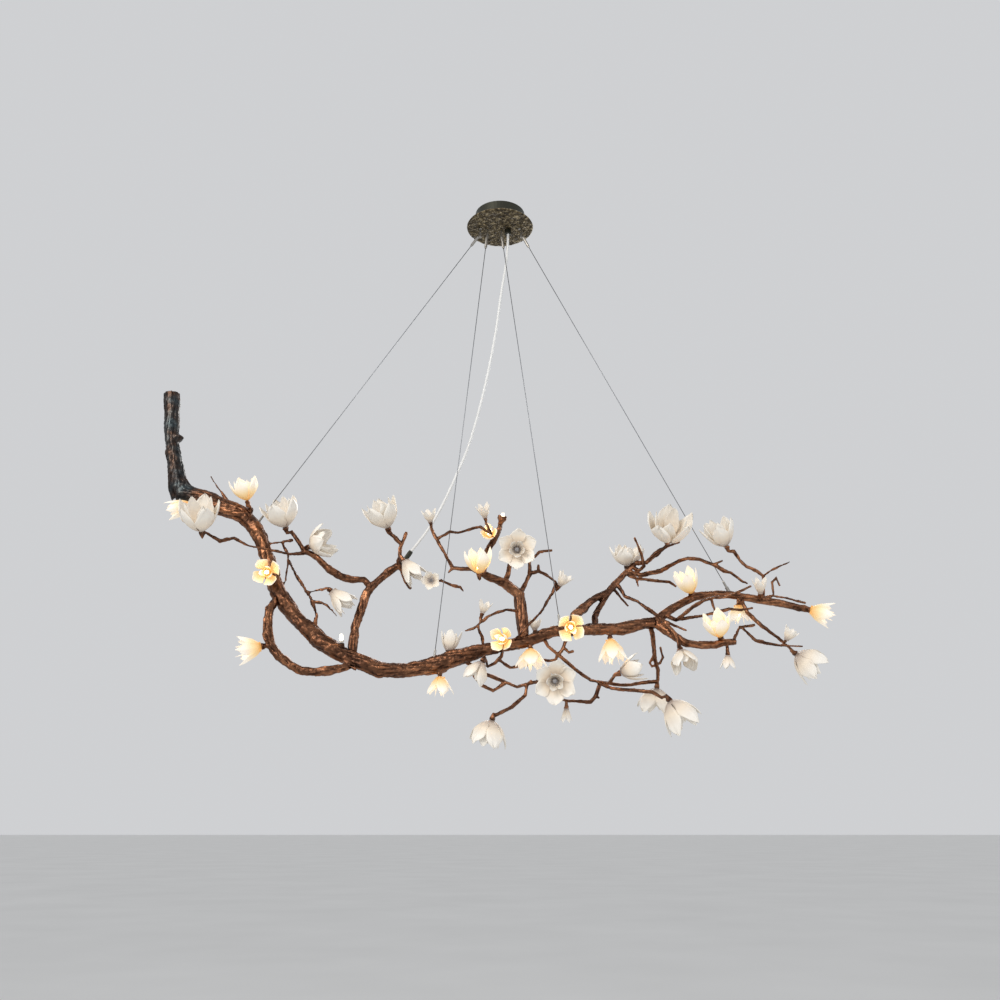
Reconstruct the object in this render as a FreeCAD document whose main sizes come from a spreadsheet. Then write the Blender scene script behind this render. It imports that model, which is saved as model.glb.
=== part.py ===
import FreeCAD, Part
import Sketcher
import math
import os

# A bronze branch chandelier hung from a round ceiling canopy by four
# cables, with porcelain blossoms on the branch, some holding small lamps.
# Millimetres. The origin is the middle of the ceiling face of the canopy,
# +X runs along the branch, +Y away from the viewer, +Z up.

V = FreeCAD.Vector
os.makedirs("parts", exist_ok=True)
doc = FreeCAD.newDocument("BranchChandelier")

# ---------------------------------------------------------------- sizes
sheet = doc.addObject("Spreadsheet::Sheet", "Sizes")
SIZES = [
    # canopy
    ("disc_diameter", 187), ("disc_thickness", 5), ("disc_drop", 39),
    ("cup_diameter", 139), ("cup_wall", 2), ("cup_height", 38.7),
    ("bracket_length", 118), ("bracket_width", 26), ("bracket_plate", 3),
    ("bracket_hole", 5.5), ("bracket_hole_pitch", 88),
    ("canopy_screw_pitch", 110), ("canopy_screw", 4),
    ("driver_length", 64), ("driver_width", 24), ("driver_height", 16),
    ("terminal_length", 24), ("terminal_width", 14), ("terminal_height", 11),
    # suspension
    ("eye_row_depth", 10), ("eye_drop", 12), ("eye_wire", 2.4),
    ("eye_bore", 4.2),
    ("grip_diameter", 8), ("grip_length", 34), ("sleeve_diameter", 5.6),
    ("sleeve_length", 9), ("sleeve_travel", 2), ("cable_diameter", 2),
    ("anchor_diameter", 6), ("anchor_length", 18),
    ("cord_diameter", 7), ("gland_diameter", 18), ("gland_height", 11.6),
    ("gland_thread", 10), ("lock_nut", 3.5),
    # branch
    ("branch_length", 1700), ("hanging_drop", 1115), ("trunk_girth", 1.0),
    ("branch_set_back", 9),
    # flowers and lamps
    ("petal_wall", 2.2), ("neck_radius", 7),
    ("calyx_length", 15), ("lamp_diameter", 8.4), ("lamp_length", 15),
    ("holder_diameter", 11), ("holder_height", 8),
    ("nut_diameter", 10), ("nut_height", 4.5),
    ("fit_gap", 0.3),
]
for row, (alias, value) in enumerate(SIZES, start=1):
    sheet.set("A%d" % row, alias)
    sheet.set("B%d" % row, str(value))
    sheet.setAlias("B%d" % row, alias)
doc.recompute()


def size(alias):
    return float(sheet.get(alias))


# ------------------------------------------------------- document pieces
def primitive(kind, name, at=(0, 0, 0), turn=None, **bound):
    """A Part primitive whose sizes follow the sheet."""
    item = doc.addObject("Part::" + kind, name)
    for prop, rule in bound.items():
        item.setExpression(prop, rule)
    axis, angle = turn or ((0, 0, 1), 0)
    item.Placement.Rotation = FreeCAD.Rotation(V(*axis), angle)
    for letter, rule in zip("xyz", at):
        item.setExpression("Placement.Base." + letter, str(rule))
    return item


def prism(name, sides, at, radius, height):
    """An upright prism of equal sides, its sizes following the sheet."""
    item = primitive("Prism", name, at, Circumradius=radius, Height=height)
    item.Polygon = sides
    return item


def joined(name, pieces):
    item = doc.addObject("Part::MultiFuse", name)
    item.Shapes = pieces
    return item


def cut(name, base, tools):
    item = doc.addObject("Part::Cut", name)
    item.Base = base
    item.Tool = tools[0] if len(tools) == 1 else joined(name + "Tools", tools)
    return item


def shaped(label, shape):
    """A sub-part whose form is worked out by the functions below."""
    item = doc.addObject("Part::Feature", label.title().replace("_", ""))
    item.Shape = shape
    item.Label = label
    return item


# -------------------------------------------------------- faceted solids
def skin(rings, ring_loop=False):
    """A closed solid from rings of points, each side split in triangles."""
    faces = []

    def add(a, b, c):
        if (b - a).cross(c - a).Length > 1e-6:
            faces.append(Part.Face(Part.makePolygon([a, b, c, a])))

    count = len(rings[0])
    pairs = list(zip(rings, rings[1:]))
    if ring_loop:
        pairs.append((rings[-1], rings[0]))
    for low, high in pairs:
        for i in range(count):
            j = (i + 1) % count
            add(low[i], low[j], high[j])
            add(low[i], high[j], high[i])
    if not ring_loop:
        for ring in (rings[0][::-1], rings[-1]):
            faces.append(Part.Face(Part.makePolygon(ring + ring[:1])))
    solid = Part.Solid(Part.Shell(faces))
    if solid.Volume < 0:
        solid.reverse()
    return solid


def across_pair(axis):
    """Two directions square to the axis and to each other."""
    side = axis.cross(V(0, 0, 1))
    if side.Length < 0.2:
        side = axis.cross(V(0, 1, 0))
    side.normalize()
    return side, axis.cross(side).normalize()


def circle_points(middle, axis, radius, sides, turn=0.0):
    side, rise = across_pair(axis)
    points = []
    for i in range(sides):
        angle = turn + 2 * math.pi * i / sides
        points.append(middle + side * (radius * math.cos(angle))
                      + rise * (radius * math.sin(angle)))
    return points


def turned(foot, axis, profile, sides=6):
    """A faceted piece turned on an axis; profile holds (radius, height)."""
    rings = [circle_points(foot + axis * up, axis, radius, sides)
             for radius, up in profile]
    return skin(rings)


def rod(points, radii, sides):
    """A faceted rod along the points, its rings mitred at each bend."""
    rings = []
    ahead = (points[1] - points[0]).normalize()
    side, rise = across_pair(ahead)
    last = len(points) - 1
    for i, (middle, radius) in enumerate(zip(points, radii)):
        before = points[i] - points[max(i - 1, 0)]
        after = points[min(i + 1, last)] - points[i]
        heading = V(0, 0, 0)
        for leg in (before, after):
            if leg.Length > 1e-6:
                heading += leg.normalize()
        heading.normalize()
        side = (side - heading * side.dot(heading)).normalize()
        rise = heading.cross(side).normalize()
        ring = []
        for k in range(sides):
            angle = 2 * math.pi * k / sides
            ring.append(middle + side * (radius * math.cos(angle))
                        + rise * (radius * math.sin(angle)))
        rings.append(ring)
    return skin(rings)


# ------------------------------------------------------ the sight drawing
# Routes are drawn on an upright sheet seen from the viewer's eye: "across"
# and "up" are millimetres on that sheet, "depth" is how far behind the
# canopy's middle the point really lies. place() slides each drawn point
# along its line of sight to that depth.
VIEW_DISTANCE = 2500.0
EYE_BACK = 2455.0
EYE_BELOW = 1650.0
VIEW_TILT = math.radians(18)
DRAWN_LENGTH = 1700.0
DRAWN_DROP = 1115.0

growth = size("branch_length") / DRAWN_LENGTH


def seen(across, up, depth):
    """The room point of a drawn point, at the drawn size."""
    rise = up / VIEW_DISTANCE
    forward = math.cos(VIEW_TILT) - rise * math.sin(VIEW_TILT)
    reach = (depth + EYE_BACK) / forward
    climb = math.sin(VIEW_TILT) + rise * math.cos(VIEW_TILT)
    return V(reach * across / VIEW_DISTANCE, depth, reach * climb - EYE_BELOW)


def place(across, up, depth):
    """The room point of a point on the branch, at the branch's own size."""
    point = seen(across, up, depth + size("branch_set_back"))
    return V(point.x * growth, point.y * growth,
             (point.z + DRAWN_DROP) * growth - size("hanging_drop"))


def facing(right, up, away):
    """A direction given as the viewer sees it, turned into the room."""
    flat = math.cos(VIEW_TILT)
    tilt = math.sin(VIEW_TILT)
    return V(right, away * flat - up * tilt, away * tilt + up * flat).normalize()


# --------------------------------------------------------------- flowers
# Each kind: belly radius and height as shares of the rim width and the
# flower height, rim radius share, and how deep the slit between petals is.
KINDS = {
    "cup": (0.45, 0.42, 0.50, 0.35),
    "tulip": (0.52, 0.45, 0.40, 0.30),
    "bell": (0.37, 0.45, 0.50, 0.35),
    "spread": (0.21, 0.52, 0.50, 0.30),
    "trumpet": (0.24, 0.50, 0.50, 0.35),
    "open": (0.27, 0.38, 0.50, 0.25),
    "small": (0.34, 0.50, 0.50, 0.35),
    "sleeve": (0.50, 0.50, 0.50, 0.98),
}
LAMP_FLOOR = 3.0

# name: (kind, foot (across, up, depth), aim (right, up, away),
#        rim width, height, petals, lit)
FLOWERS = {
    "lit_cup_1": ("cup", (-632, 0, -22), (-.15, 1, -.2), 70, 58, 5, True),
    "lit_cup_2": ("cup", (-772, -10, -42), (-1, -.35, -.2), 46, 62, 4, True),
    "lit_cup_3": ("cup", (551, -341, -44), (-.3, 1, -.3), 68, 62, 5, True),
    "lit_cup_4": ("cup", (478, -232, 22), (-.35, .9, -.2), 62, 64, 5, True),
    "lit_tulip": ("tulip", (-52, -183, -36), (-.05, 1, -.1), 74, 65, 5, True),
    "lit_bell_1": ("bell", (-150, -441, -6), (0, -1, -.2), 62, 46, 5, True),
    "lit_bell_2": ("bell", (77, -371, -4), (0, -1, -.35), 76, 52, 5, True),
    "lit_bell_3": ("bell", (276, -347, -14), (.1, -1, -.3), 70, 62, 5, True),
    "lit_bell_4": ("bell", (597, -262, 30), (0, -1, -.1), 62, 45, 5, True),
    "lit_bell_5": ("bell", (774, -275, 36), (1, -.25, -.2), 62, 60, 5, True),
    "lit_bell_6": ("bell", (-596, -367, -54), (-1, -.15, -.2), 68, 60, 5,
                   True),
    "lit_open_1": ("open", (-580, -180, -38), (0, .05, -1), 74, 34, 4, True),
    "lit_open_2": ("open", (10, -348, -18), (-.35, .2, -1), 66, 34, 5, True),
    "lit_open_3": ("open", (176, -316, -34), (0, 0, -1), 74, 34, 4, True),
    "lit_open_4": ("open", (-26, -88, 24), (-.1, .5, -1), 46, 30, 4, True),
    "spread_flower_1": ("spread", (-746, -78, -58), (0, 1, -.45), 98, 85, 5,
                        False),
    "spread_flower_2": ("spread", (-536, -68, -6), (-.25, 1, -.2), 94, 72, 5,
                        False),
    "spread_flower_3": ("spread", (-475, -117, 18), (1, .35, -.2), 85, 58, 5,
                        False),
    "spread_flower_4": ("spread", (-280, -70, 42), (-.35, 1, -.25), 88, 75,
                        5, False),
    "spread_flower_5": ("spread", (-20, -550, 0), (-.25, -1, -.1), 88, 62, 5,
                        False),
    "spread_flower_6": ("spread", (392, -470, 34), (-.1, -.9, 0), 85, 56, 5,
                        False),
    "spread_flower_7": ("spread", (424, -502, -48), (.55, -.8, -.1), 88, 75,
                        5, False),
    "spread_flower_8": ("spread", (740, -385, -14), (.8, -.6, -.1), 85, 68,
                        5, False),
    "spread_flower_9": ("spread", (565, -115, 26), (-.45, .9, -.1), 84, 72,
                        5, False),
    "spread_flower_10": ("spread", (317, -165, 70), (0, 1, -.1), 88, 52, 5,
                         False),
    "spread_flower_11": ("spread", (418, -105, 24), (.05, .85, -.5), 110, 80,
                         6, False),
    "open_flower_1": ("open", (42, -124, -32), (0, .1, -1), 102, 30, 6,
                      False),
    "open_flower_2": ("open", (137, -451, -44), (0, 0, -1), 105, 30, 6,
                      False),
    "trumpet_flower_1": ("trumpet", (-421, -228, -6), (.75, -.65, -.2), 60,
                         66, 5, False),
    "trumpet_flower_2": ("trumpet", (-240, -152, 4), (.6, -.75, -.3), 58, 66,
                         5, False),
    "half_open_1": ("bell", (-128, -380, 10), (.15, 1, .3), 52, 52, 4,
                    False),
    "half_open_2": ("bell", (-45, -405, -38), (-.45, -.85, -.1), 60, 52, 4,
                    False),
    "half_open_3": ("bell", (451, -376, -52), (.2, -.8, -.6), 68, 48, 5,
                    False),
    "half_open_4": ("bell", (302, -432, -6), (.85, .3, -.1), 64, 56, 5,
                    False),
    "small_1": ("small", (-174, -55, -22), (-.15, 1, -.2), 38, 33, 4, False),
    "small_2": ("small", (-172, -201, -14), (0, .1, -1), 47, 18, 4, False),
    "small_3": ("small", (-37, -44, -12), (-.2, 1, -.3), 38, 38, 4, False),
    "small_4": ("small", (-44, -282, -24), (.3, 1, -.1), 34, 32, 4, False),
    "small_5": ("small", (87, -326, 24), (0, 1, .2), 36, 30, 4, False),
    "small_6": ("small", (166, -520, 2), (0, -1, 0), 28, 34, 4, False),
    "small_7": ("small", (569, -388, -48), (0, -1, -.2), 38, 34, 4, False),
    "small_8": ("small", (715, -350, -30), (.5, .85, -.1), 37, 34, 4, False),
    "small_9": ("small", (651, -234, 18), (-.1, 1, -.2), 38, 42, 4, False),
    "small_10": ("small", (149, -214, 13), (.5, .85, -.1), 40, 38, 4, False),
    "bare_lamp": ("bare", (-396, -357, -23), (0, 1, -.3), 20, 10, 4, True),
    "lamp_sleeve": ("sleeve", (2, -57, 50), (.25, 1, 0), 25, 20, 4, True),
}
GROUPS = {"half_open": "half_open_flowers", "small": "small_blossoms"}


class Flower:
    """Where one flower sits, how it faces, and the sizes of its foot."""

    def __init__(self, row):
        kind, foot, aim, rim, height, petals, lit = row
        self.kind = kind
        self.foot = place(*foot)
        self.axis = facing(*aim)
        self.rim = rim * growth
        self.height = height * growth
        self.petals = petals
        self.lit = lit
        share = 0.7 if kind == "small" else 1.0
        self.neck = size("neck_radius") * share
        self.floor = 0.0 if kind == "bare" else LAMP_FLOOR * share
        self.nut = size("nut_diameter") / 2 * share
        self.nut_height = size("nut_height") * share
        self.seat = max(self.nut, size("holder_diameter") / 2 * share) + 0.7

    def stem_end(self, radius):
        """The last rings of the twig: a calyx flaring to a flat seat."""
        back = size("calyx_length")
        wide = self.neck + 1.2
        rings = [(back, radius), (back * 0.35, wide * 0.9), (0, wide)]
        return [(self.foot - self.axis * away, r) for away, r in rings]


def corolla(flower):
    """The porcelain flower as one closed wall with slits between petals."""
    belly_share, belly_at, rim_share, slit = KINDS[flower.kind]
    wall = size("petal_wall")
    belly = V(flower.rim * belly_share, 0, flower.height * belly_at)
    rim = V(flower.rim * rim_share, 0, flower.height)
    foot = V(flower.neck, 0, 0)
    lower = (belly - foot).normalize()
    upper = (rim - belly).normalize()
    inward = V(-upper.z, 0, upper.x)
    shared = (V(-lower.z, 0, lower.x) + inward).normalize()
    belly_in = belly + shared * wall
    rows = []
    shares = (0.0, 0.5) if flower.kind == "small" else (0.0, 0.24, 0.76)
    per_petal = len(shares)
    count = flower.petals * per_petal
    for ring in range(6):
        rows.append([])
    side, rise = across_pair(flower.axis)
    for i in range(count):
        petal, step = divmod(i, per_petal)
        angle = 2 * math.pi * (petal + shares[step]) / flower.petals
        edge = belly + (rim - belly) * (slit if step == 0 else 1.0)
        edge_in = edge + inward * wall
        column = [foot, belly, edge, edge_in, belly_in,
                  V(flower.seat, 0, flower.floor)]
        spoke = side * math.cos(angle) + rise * math.sin(angle)
        for row, point in zip(rows, column):
            row.append(flower.foot + spoke * point.x
                       + flower.axis * point.z)
    return skin(rows)


def lamp_holder(flower):
    """A holder standing on the flower's floor."""
    profile = [(size("holder_diameter") / 2, flower.floor),
               (size("holder_diameter") / 2,
                flower.floor + size("holder_height"))]
    return turned(flower.foot, flower.axis, profile)


def lamp_capsule(flower):
    """A small clear lamp standing on its holder."""
    start = flower.floor + size("holder_height")
    long = size("lamp_length")
    radius = size("lamp_diameter") / 2
    profile = [(radius, start), (radius, start + long * 0.75),
               (radius * 0.35, start + long)]
    return turned(flower.foot, flower.axis, profile)


def flower_nut(flower):
    """The domed nut that holds an unlit flower on its calyx."""
    top = flower.floor + flower.nut_height
    profile = [(flower.nut, flower.floor), (flower.nut * 0.8, top),
               (flower.nut * 0.3, top + flower.nut_height * 0.5)]
    return turned(flower.foot, flower.axis, profile)


flowers = {name: Flower(row) for name, row in FLOWERS.items()}


# -------------------------------------------------------------- branches
# Each point is (across, up, depth, radius). A twig starts on the middle
# line of its parent, at the place nearest its first point.
LIMBS = {}
CASTINGS = {}
# a four-sided twig is drawn a little wider, to look as thick as it is
SQUARE_GAIN = 1.12


def nearest_on(parent, across, up):
    """The point of a parent's middle line nearest a drawn point."""
    best = None
    points = LIMBS[parent]
    for a, b in zip(points, points[1:]):
        run = (b[0] - a[0]) ** 2 + (b[1] - a[1]) ** 2
        share = ((across - a[0]) * (b[0] - a[0])
                 + (up - a[1]) * (b[1] - a[1])) / max(run, 1e-6)
        share = min(max(share, 0.0), 1.0)
        spot = [a[k] + (b[k] - a[k]) * share for k in range(3)]
        away = math.hypot(spot[0] - across, spot[1] - up)
        if best is None or away < best[0]:
            best = (away, spot)
    return best[1]


def drawn_straight(points):
    """Leave out the points that lie on a straight, even run."""
    kept = [points[0]]
    for here, after in zip(points[1:], points[2:]):
        before = kept[-1]
        run = sum((after[k] - before[k]) ** 2 for k in range(3))
        share = sum((here[k] - before[k]) * (after[k] - before[k])
                    for k in range(3)) / max(run, 1e-6)
        off = [here[k] - before[k] - share * (after[k] - before[k])
               for k in range(4)]
        if math.hypot(*off[:3]) > 2.2 or abs(off[3]) > 0.8:
            kept.append(here)
    return kept + [points[-1]]


def limb(name, casting, parent, points, flower=None, ends_on=None, sides=4):
    """Lay one limb or twig and add its solid to a casting."""
    route = [list(point) for point in points]
    if parent:
        route[0][:3] = nearest_on(parent, *points[0][:2])
    if ends_on:
        route[-1][:3] = nearest_on(ends_on, *points[-1][:2])
    LIMBS[name] = route
    girth = size("trunk_girth") * growth
    if len(route) > 2:
        route = drawn_straight(route)
    middle = [place(*point[:3]) for point in route]
    radii = [point[3] * girth for point in route]
    if flower:
        for spot, radius in flowers[flower].stem_end(radii[-1]):
            middle.append(spot)
            radii.append(radius)
    if sides == 4:
        radii = [radius * SQUARE_GAIN for radius in radii]
    CASTINGS.setdefault(casting, []).append(rod(middle, radii, sides))


def stems(casting, parent, radius, names):
    """Short stems that stand straight up from a limb under a flower."""
    for name in names:
        across, up = FLOWERS[name][1][:2]
        start = tuple(nearest_on(parent, across, up))
        limb("stem_" + name, casting, parent, [start + (radius,)],
             flower=name)


# the trunk, from its sawn butt to the fork at the right
limb("trunk", "trunk", None, [
    (-820, 266.5, 20, 22), (-820, 215, 17, 20), (-820, 150, 13, 18.5),
    (-813, 91, 8, 20), (-806, 47, 4, 22), (-790, 17, 0, 27),
    (-735, 0, 0, 25.5), (-701, -17, 0, 24), (-667, -27, 0, 22.5),
    (-641, -40, 0, 21), (-614, -70, 0, 20), (-597, -100, -3, 19.5),
    (-579, -150, -5, 18.5), (-562, -216, -8, 21), (-538, -259, -10, 20),
    (-510, -294, -11, 19), (-482, -322, -12, 19.5), (-454, -350, -13, 21),
    (-397, -385, -15, 20), (-337, -410, -18, 19), (-302, -427, -20, 20),
    (-232, -427, -10, 17), (-162, -413, 0, 22), (-100, -394, 5, 20),
    (-65, -381, 8, 18.5), (-30, -374, 10, 15.5), (3, -367, 8, 14),
    (75, -350, 4, 15.5), (135, -327, 0, 14), (175, -324, -4, 14),
    (242, -324, -10, 15), (301, -323, -5, 15), (357, -309, 0, 15),
    (388, -306, 0, 14)], sides=9)
stems("trunk", "trunk", 5, ["lit_bell_1", "lit_bell_2", "lit_bell_3",
                            "half_open_1", "small_5"])
stems("trunk", "trunk", 4, ["lit_open_1", "lit_open_2", "lit_open_3"])
limb("knuckle", "trunk", "trunk", [
    (-611, -40, 0, 6), (-620, -23, -8, 6)], flower="lit_cup_1")
stems("trunk", "trunk", 6, ["bare_lamp"])
limb("heel_stem", "trunk", "trunk", [
    (-752, 2, 0, 6), (-752, -2, -36, 5.5)], flower="lit_cup_2")
limb("dark_twig", "trunk", "trunk", [
    (-617, -80, 0, 5), (-641, -60, 26, 4.5), (-654, -36, 30, 4.5),
    (-674, -16, 32, 4), (-691, 7, 32, 4), (-714, 47, 30, 3.5),
    (-724, 60, 30, 2.5)])
limb("inner_twig", "trunk", "trunk", [
    (-575, -104, 0, 5), (-552, -104, 4, 4.5), (-538, -104, 6, 4),
    (-519, -101, 8, 3)])
limb("inner_loop", "trunk", "inner_twig", [
    (-545, -105, 5, 4), (-529, -136, 8, 4), (-533, -168, 8, 4),
    (-536, -202, 4, 4), (-542, -227, 0, 5)], ends_on="trunk")
limb("inner_strut", "trunk", "inner_loop", [
    (-530, -146, 8, 4), (-510, -188, 8, 4), (-486, -227, 4, 4),
    (-471, -248, 0, 4), (-458, -287, -6, 4.5), (-462, -330, -12, 5)],
     ends_on="trunk")
limb("trumpet_twig", "trunk", "inner_strut", [
    (-486, -230, 4, 4), (-471, -230, -2, 3.5), (-450, -225, -6, 3.5)],
     flower="trumpet_flower_1")
limb("low_strut", "trunk", "inner_strut", [
    (-466, -250, 0, 4), (-433, -262, -8, 3.5), (-419, -280, -12, 3.5),
    (-407, -292, -14, 2.5)])
limb("lower_spur", "trunk", "trunk", [
    (-404, -385, -15, 6), (-380, -412, -34, 5), (-360, -424, -38, 3)])

# the hoop that leaves the trunk at the left and comes back below
limb("hoop", "hoop_branch", "trunk", [
    (-560, -240, -9, 11), (-576, -272, -36, 12), (-580, -300, -48, 12),
    (-580, -336, -52, 13), (-573, -364, -54, 12.5), (-552, -392, -52, 12),
    (-524, -413, -50, 11.5), (-496, -427, -48, 11.5),
    (-461, -430, -46, 11), (-426, -426, -42, 11), (-385, -417, -34, 10.5),
    (-350, -412, -19, 9)], sides=6, ends_on="trunk")
stems("hoop_branch", "hoop", 4, ["lit_bell_6"])

# the fork that stands on the trunk and takes the power cord
limb("fork", "fork_branch", "trunk", [
    (-372, -395, -16, 13), (-362, -319, 8, 12), (-347, -273, 20, 12),
    (-334, -234, 30, 12.5), (-322, -217, 35, 12)], sides=6)
limb("fork_left", "fork_branch", "fork", [
    (-322, -217, 35, 10), (-341, -199, 34, 9.5), (-372, -199, 32, 9.5),
    (-397, -192, 28, 10), (-425, -175, 22, 10), (-454, -146, 14, 9),
    (-479, -132, 10, 7.5), (-486, -132, 8, 6)], sides=6)
limb("fork_right", "fork_branch", "fork", [
    (-322, -217, 35, 11), (-295, -193, 40, 11), (-277, -178, 46, 11),
    (-253, -164, 50, 11.5), (-246, -170, 50, 10)], sides=6)
limb("spread_2_stem", "fork_branch", "fork_left", [
    (-486, -132, 8, 6), (-503, -104, 4, 5), (-521, -80, 0, 5)],
     flower="spread_flower_2")
limb("spread_3_stem", "fork_branch", "fork_left", [
    (-483, -132, 10, 6), (-485, -126, 14, 5)], flower="spread_flower_3")
limb("long_left_twig", "fork_branch", "fork_left", [
    (-486, -132, 8, 5), (-524, -136, -14, 4), (-559, -128, -40, 4),
    (-594, -122, -42, 4), (-627, -115, -42, 4), (-644, -104, -44, 4.5),
    (-665, -95, -46, 4), (-679, -99, -48, 4), (-700, -102, -50, 5),
    (-718, -90, -52, 5), (-739, -80, -54, 5)], flower="spread_flower_1")
limb("up_twig", "fork_branch", "fork_right", [
    (-250, -164, 50, 7), (-252, -150, 50, 6), (-250, -122, 48, 5.5),
    (-242, -105, 48, 5), (-234, -80, 48, 3.5)])
limb("spread_4_stem", "fork_branch", "up_twig", [
    (-249, -110, 48, 5.5), (-266, -90, 46, 5)], flower="spread_flower_4")
limb("trumpet_2_stem", "fork_branch", "fork_right", [
    (-253, -166, 50, 6), (-254, -150, 26, 5)], flower="trumpet_flower_2")
limb("down_twig", "fork_branch", "fork_right", [
    (-246, -170, 50, 7), (-236, -199, 50, 5.5), (-224, -222, 48, 4)])
limb("dark_right_twig", "fork_branch", "fork_right", [
    (-246, -170, 50, 6), (-212, -190, 44, 5), (-172, -203, 38, 5),
    (-145, -202, 34, 4.5), (-121, -213, 32, 4), (-99, -218, 30, 3.5),
    (-91, -229, 30, 2.5)])
limb("small_2_stem", "fork_branch", "dark_right_twig", [
    (-172, -203, 38, 4)], flower="small_2")

# the upright limb in the middle
limb("upright", "upright_branch", "trunk", [
    (58, -345, 5, 15), (52, -302, 12, 15), (50, -275, 18, 15),
    (49, -253, 20, 16), (47, -234, 20, 16), (31, -221, 18, 14),
    (9, -207, 14, 12), (-12, -197, 8, 11), (-39, -186, 2, 10),
    (-56, -180, -4, 7), (-72, -173, -8, 5)], sides=6)
limb("upright_left", "upright_branch", "upright", [
    (-72, -173, -8, 5), (-99, -173, -8, 5), (-118, -170, -8, 5),
    (-134, -140, -10, 5), (-148, -118, -12, 5), (-159, -96, -14, 5),
    (-167, -82, -16, 4.5)], flower="small_1")
limb("left_spur", "upright_branch", "upright_left", [
    (-118, -172, -8, 5), (-130, -183, -8, 3)])
limb("small_3_twig", "upright_branch", "upright_left", [
    (-158, -98, -14, 4.5), (-126, -79, -12, 4), (-104, -82, -10, 4),
    (-75, -75, -8, 4), (-50, -66, -8, 4), (-34, -75, -8, 4),
    (-18, -88, -6, 3)])
limb("small_3_stem", "upright_branch", "small_3_twig", [
    (-20, -86, -8, 4), (-30, -66, -10, 4)], flower="small_3")
limb("tulip_stem", "upright_branch", "upright", [
    (-50, -182, -3, 6), (-52, -186, -22, 6)], flower="lit_tulip")
limb("lamp_limb", "upright_branch", "upright", [
    (-42, -184, 2, 9), (-40, -150, 26, 9), (-27, -118, 44, 9),
    (-17, -104, 50, 9), (-8, -85, 50, 8)], sides=6)
limb("sleeve_stem", "upright_branch", "lamp_limb", [
    (-8, -85, 50, 8)], flower="lamp_sleeve")
limb("lit_open_4_stem", "upright_branch", "lamp_limb", [
    (-18, -104, 50, 5)], flower="lit_open_4")
limb("open_1_stem", "upright_branch", "upright", [
    (12, -204, 14, 7), (20, -186, 10, 6.5), (24, -160, 4, 6),
    (36, -134, -2, 6)], flower="open_flower_1")
limb("right_twig", "upright_branch", "upright", [
    (50, -240, 20, 7), (63, -210, 22, 6), (74, -186, 24, 5.5),
    (74, -153, 26, 5), (85, -145, 26, 5), (99, -129, 26, 4.5),
    (117, -129, 26, 4), (131, -126, 26, 3)])
limb("right_fork", "upright_branch", "right_twig", [
    (74, -183, 24, 5), (96, -178, 24, 4.5), (117, -188, 20, 4.5),
    (140, -205, 15, 4)], flower="small_10")
limb("right_spur", "upright_branch", "right_fork", [
    (96, -178, 22, 4), (96, -161, 22, 3)])
limb("front_stem", "upright_branch", "right_fork", [
    (140, -206, 15, 4.5), (131, -232, 15, 4), (117, -254, 4, 4),
    (107, -275, -16, 4), (85, -300, -28, 4), (69, -313, -28, 4),
    (56, -330, -26, 4), (42, -346, -8, 4), (30, -368, 9, 4)],
     ends_on="trunk")
limb("small_4_twig", "upright_branch", "upright", [
    (45, -278, 16, 4.5), (15, -274, -2, 4), (-7, -281, -14, 4),
    (-29, -291, -18, 4), (-48, -305, -22, 4), (-66, -321, -26, 3.5),
    (-88, -327, -26, 2.5)])
limb("small_4_stem", "upright_branch", "small_4_twig", [
    (-48, -305, -22, 4)], flower="small_4")
limb("small_4_drop", "upright_branch", "small_4_twig", [
    (-54, -310, -23, 4), (-54, -322, -18, 4), (-46, -340, -6, 4),
    (-40, -376, 8, 4.5)], ends_on="trunk")

# the limb that climbs at the right, with its many twigs
limb("climbing", "climbing_branch", "trunk", [
    (180, -320, -4, 12), (186, -289, 14, 12.5), (209, -271, 22, 12.5),
    (226, -254, 26, 11), (249, -240, 30, 9.5), (269, -231, 32, 10),
    (284, -214, 36, 10), (301, -194, 38, 9), (318, -177, 40, 8),
    (330, -165, 40, 7), (347, -154, 40, 5)], sides=6)
limb("climbing_top", "climbing_branch", "climbing", [
    (330, -165, 40, 6), (347, -177, 34, 6), (360, -165, 22, 5.5),
    (354, -137, 10, 5), (340, -104, 6, 4), (336, -93, 4, 3)])
limb("spread_10_stem", "climbing_branch", "climbing", [
    (312, -185, 39, 6), (316, -184, 58, 5.5)], flower="spread_flower_10")
limb("big_flower_stem", "climbing_branch", "climbing", [
    (352, -177, 34, 6), (366, -157, 36, 5.5), (384, -137, 36, 5.5),
    (401, -124, 34, 5.5)], flower="spread_flower_11")
limb("twin_stem", "climbing_branch", "big_flower_stem", [
    (372, -151, 36, 5), (398, -134, 46, 4), (412, -117, 50, 4),
    (450, -105, 50, 3)])
limb("long_right_twig", "climbing_branch", "climbing", [
    (318, -180, 40, 6.5), (352, -188, 26, 6), (375, -182, 22, 5.5),
    (401, -177, 20, 5.5), (421, -165, 20, 5), (444, -154, 20, 5),
    (470, -145, 20, 5), (500, -149, 22, 5), (526, -159, 24, 5),
    (546, -167, 26, 4.5), (559, -177, 28, 4.5), (577, -182, 30, 4.5),
    (592, -192, 32, 4), (607, -205, 36, 4), (620, -209, 38, 3)])
limb("long_right_spur", "climbing_branch", "long_right_twig", [
    (536, -154, 24, 4), (557, -151, 24, 2.5)])
limb("short_right_twig", "climbing_branch", "climbing", [
    (318, -186, 40, 6), (341, -197, 44, 5), (358, -198, 44, 5),
    (381, -202, 44, 5), (404, -205, 44, 5), (424, -205, 44, 4),
    (441, -217, 44, 3)])
limb("short_spur", "climbing_branch", "short_right_twig", [
    (341, -196, 44, 4), (345, -217, 44, 2.5)])
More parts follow.
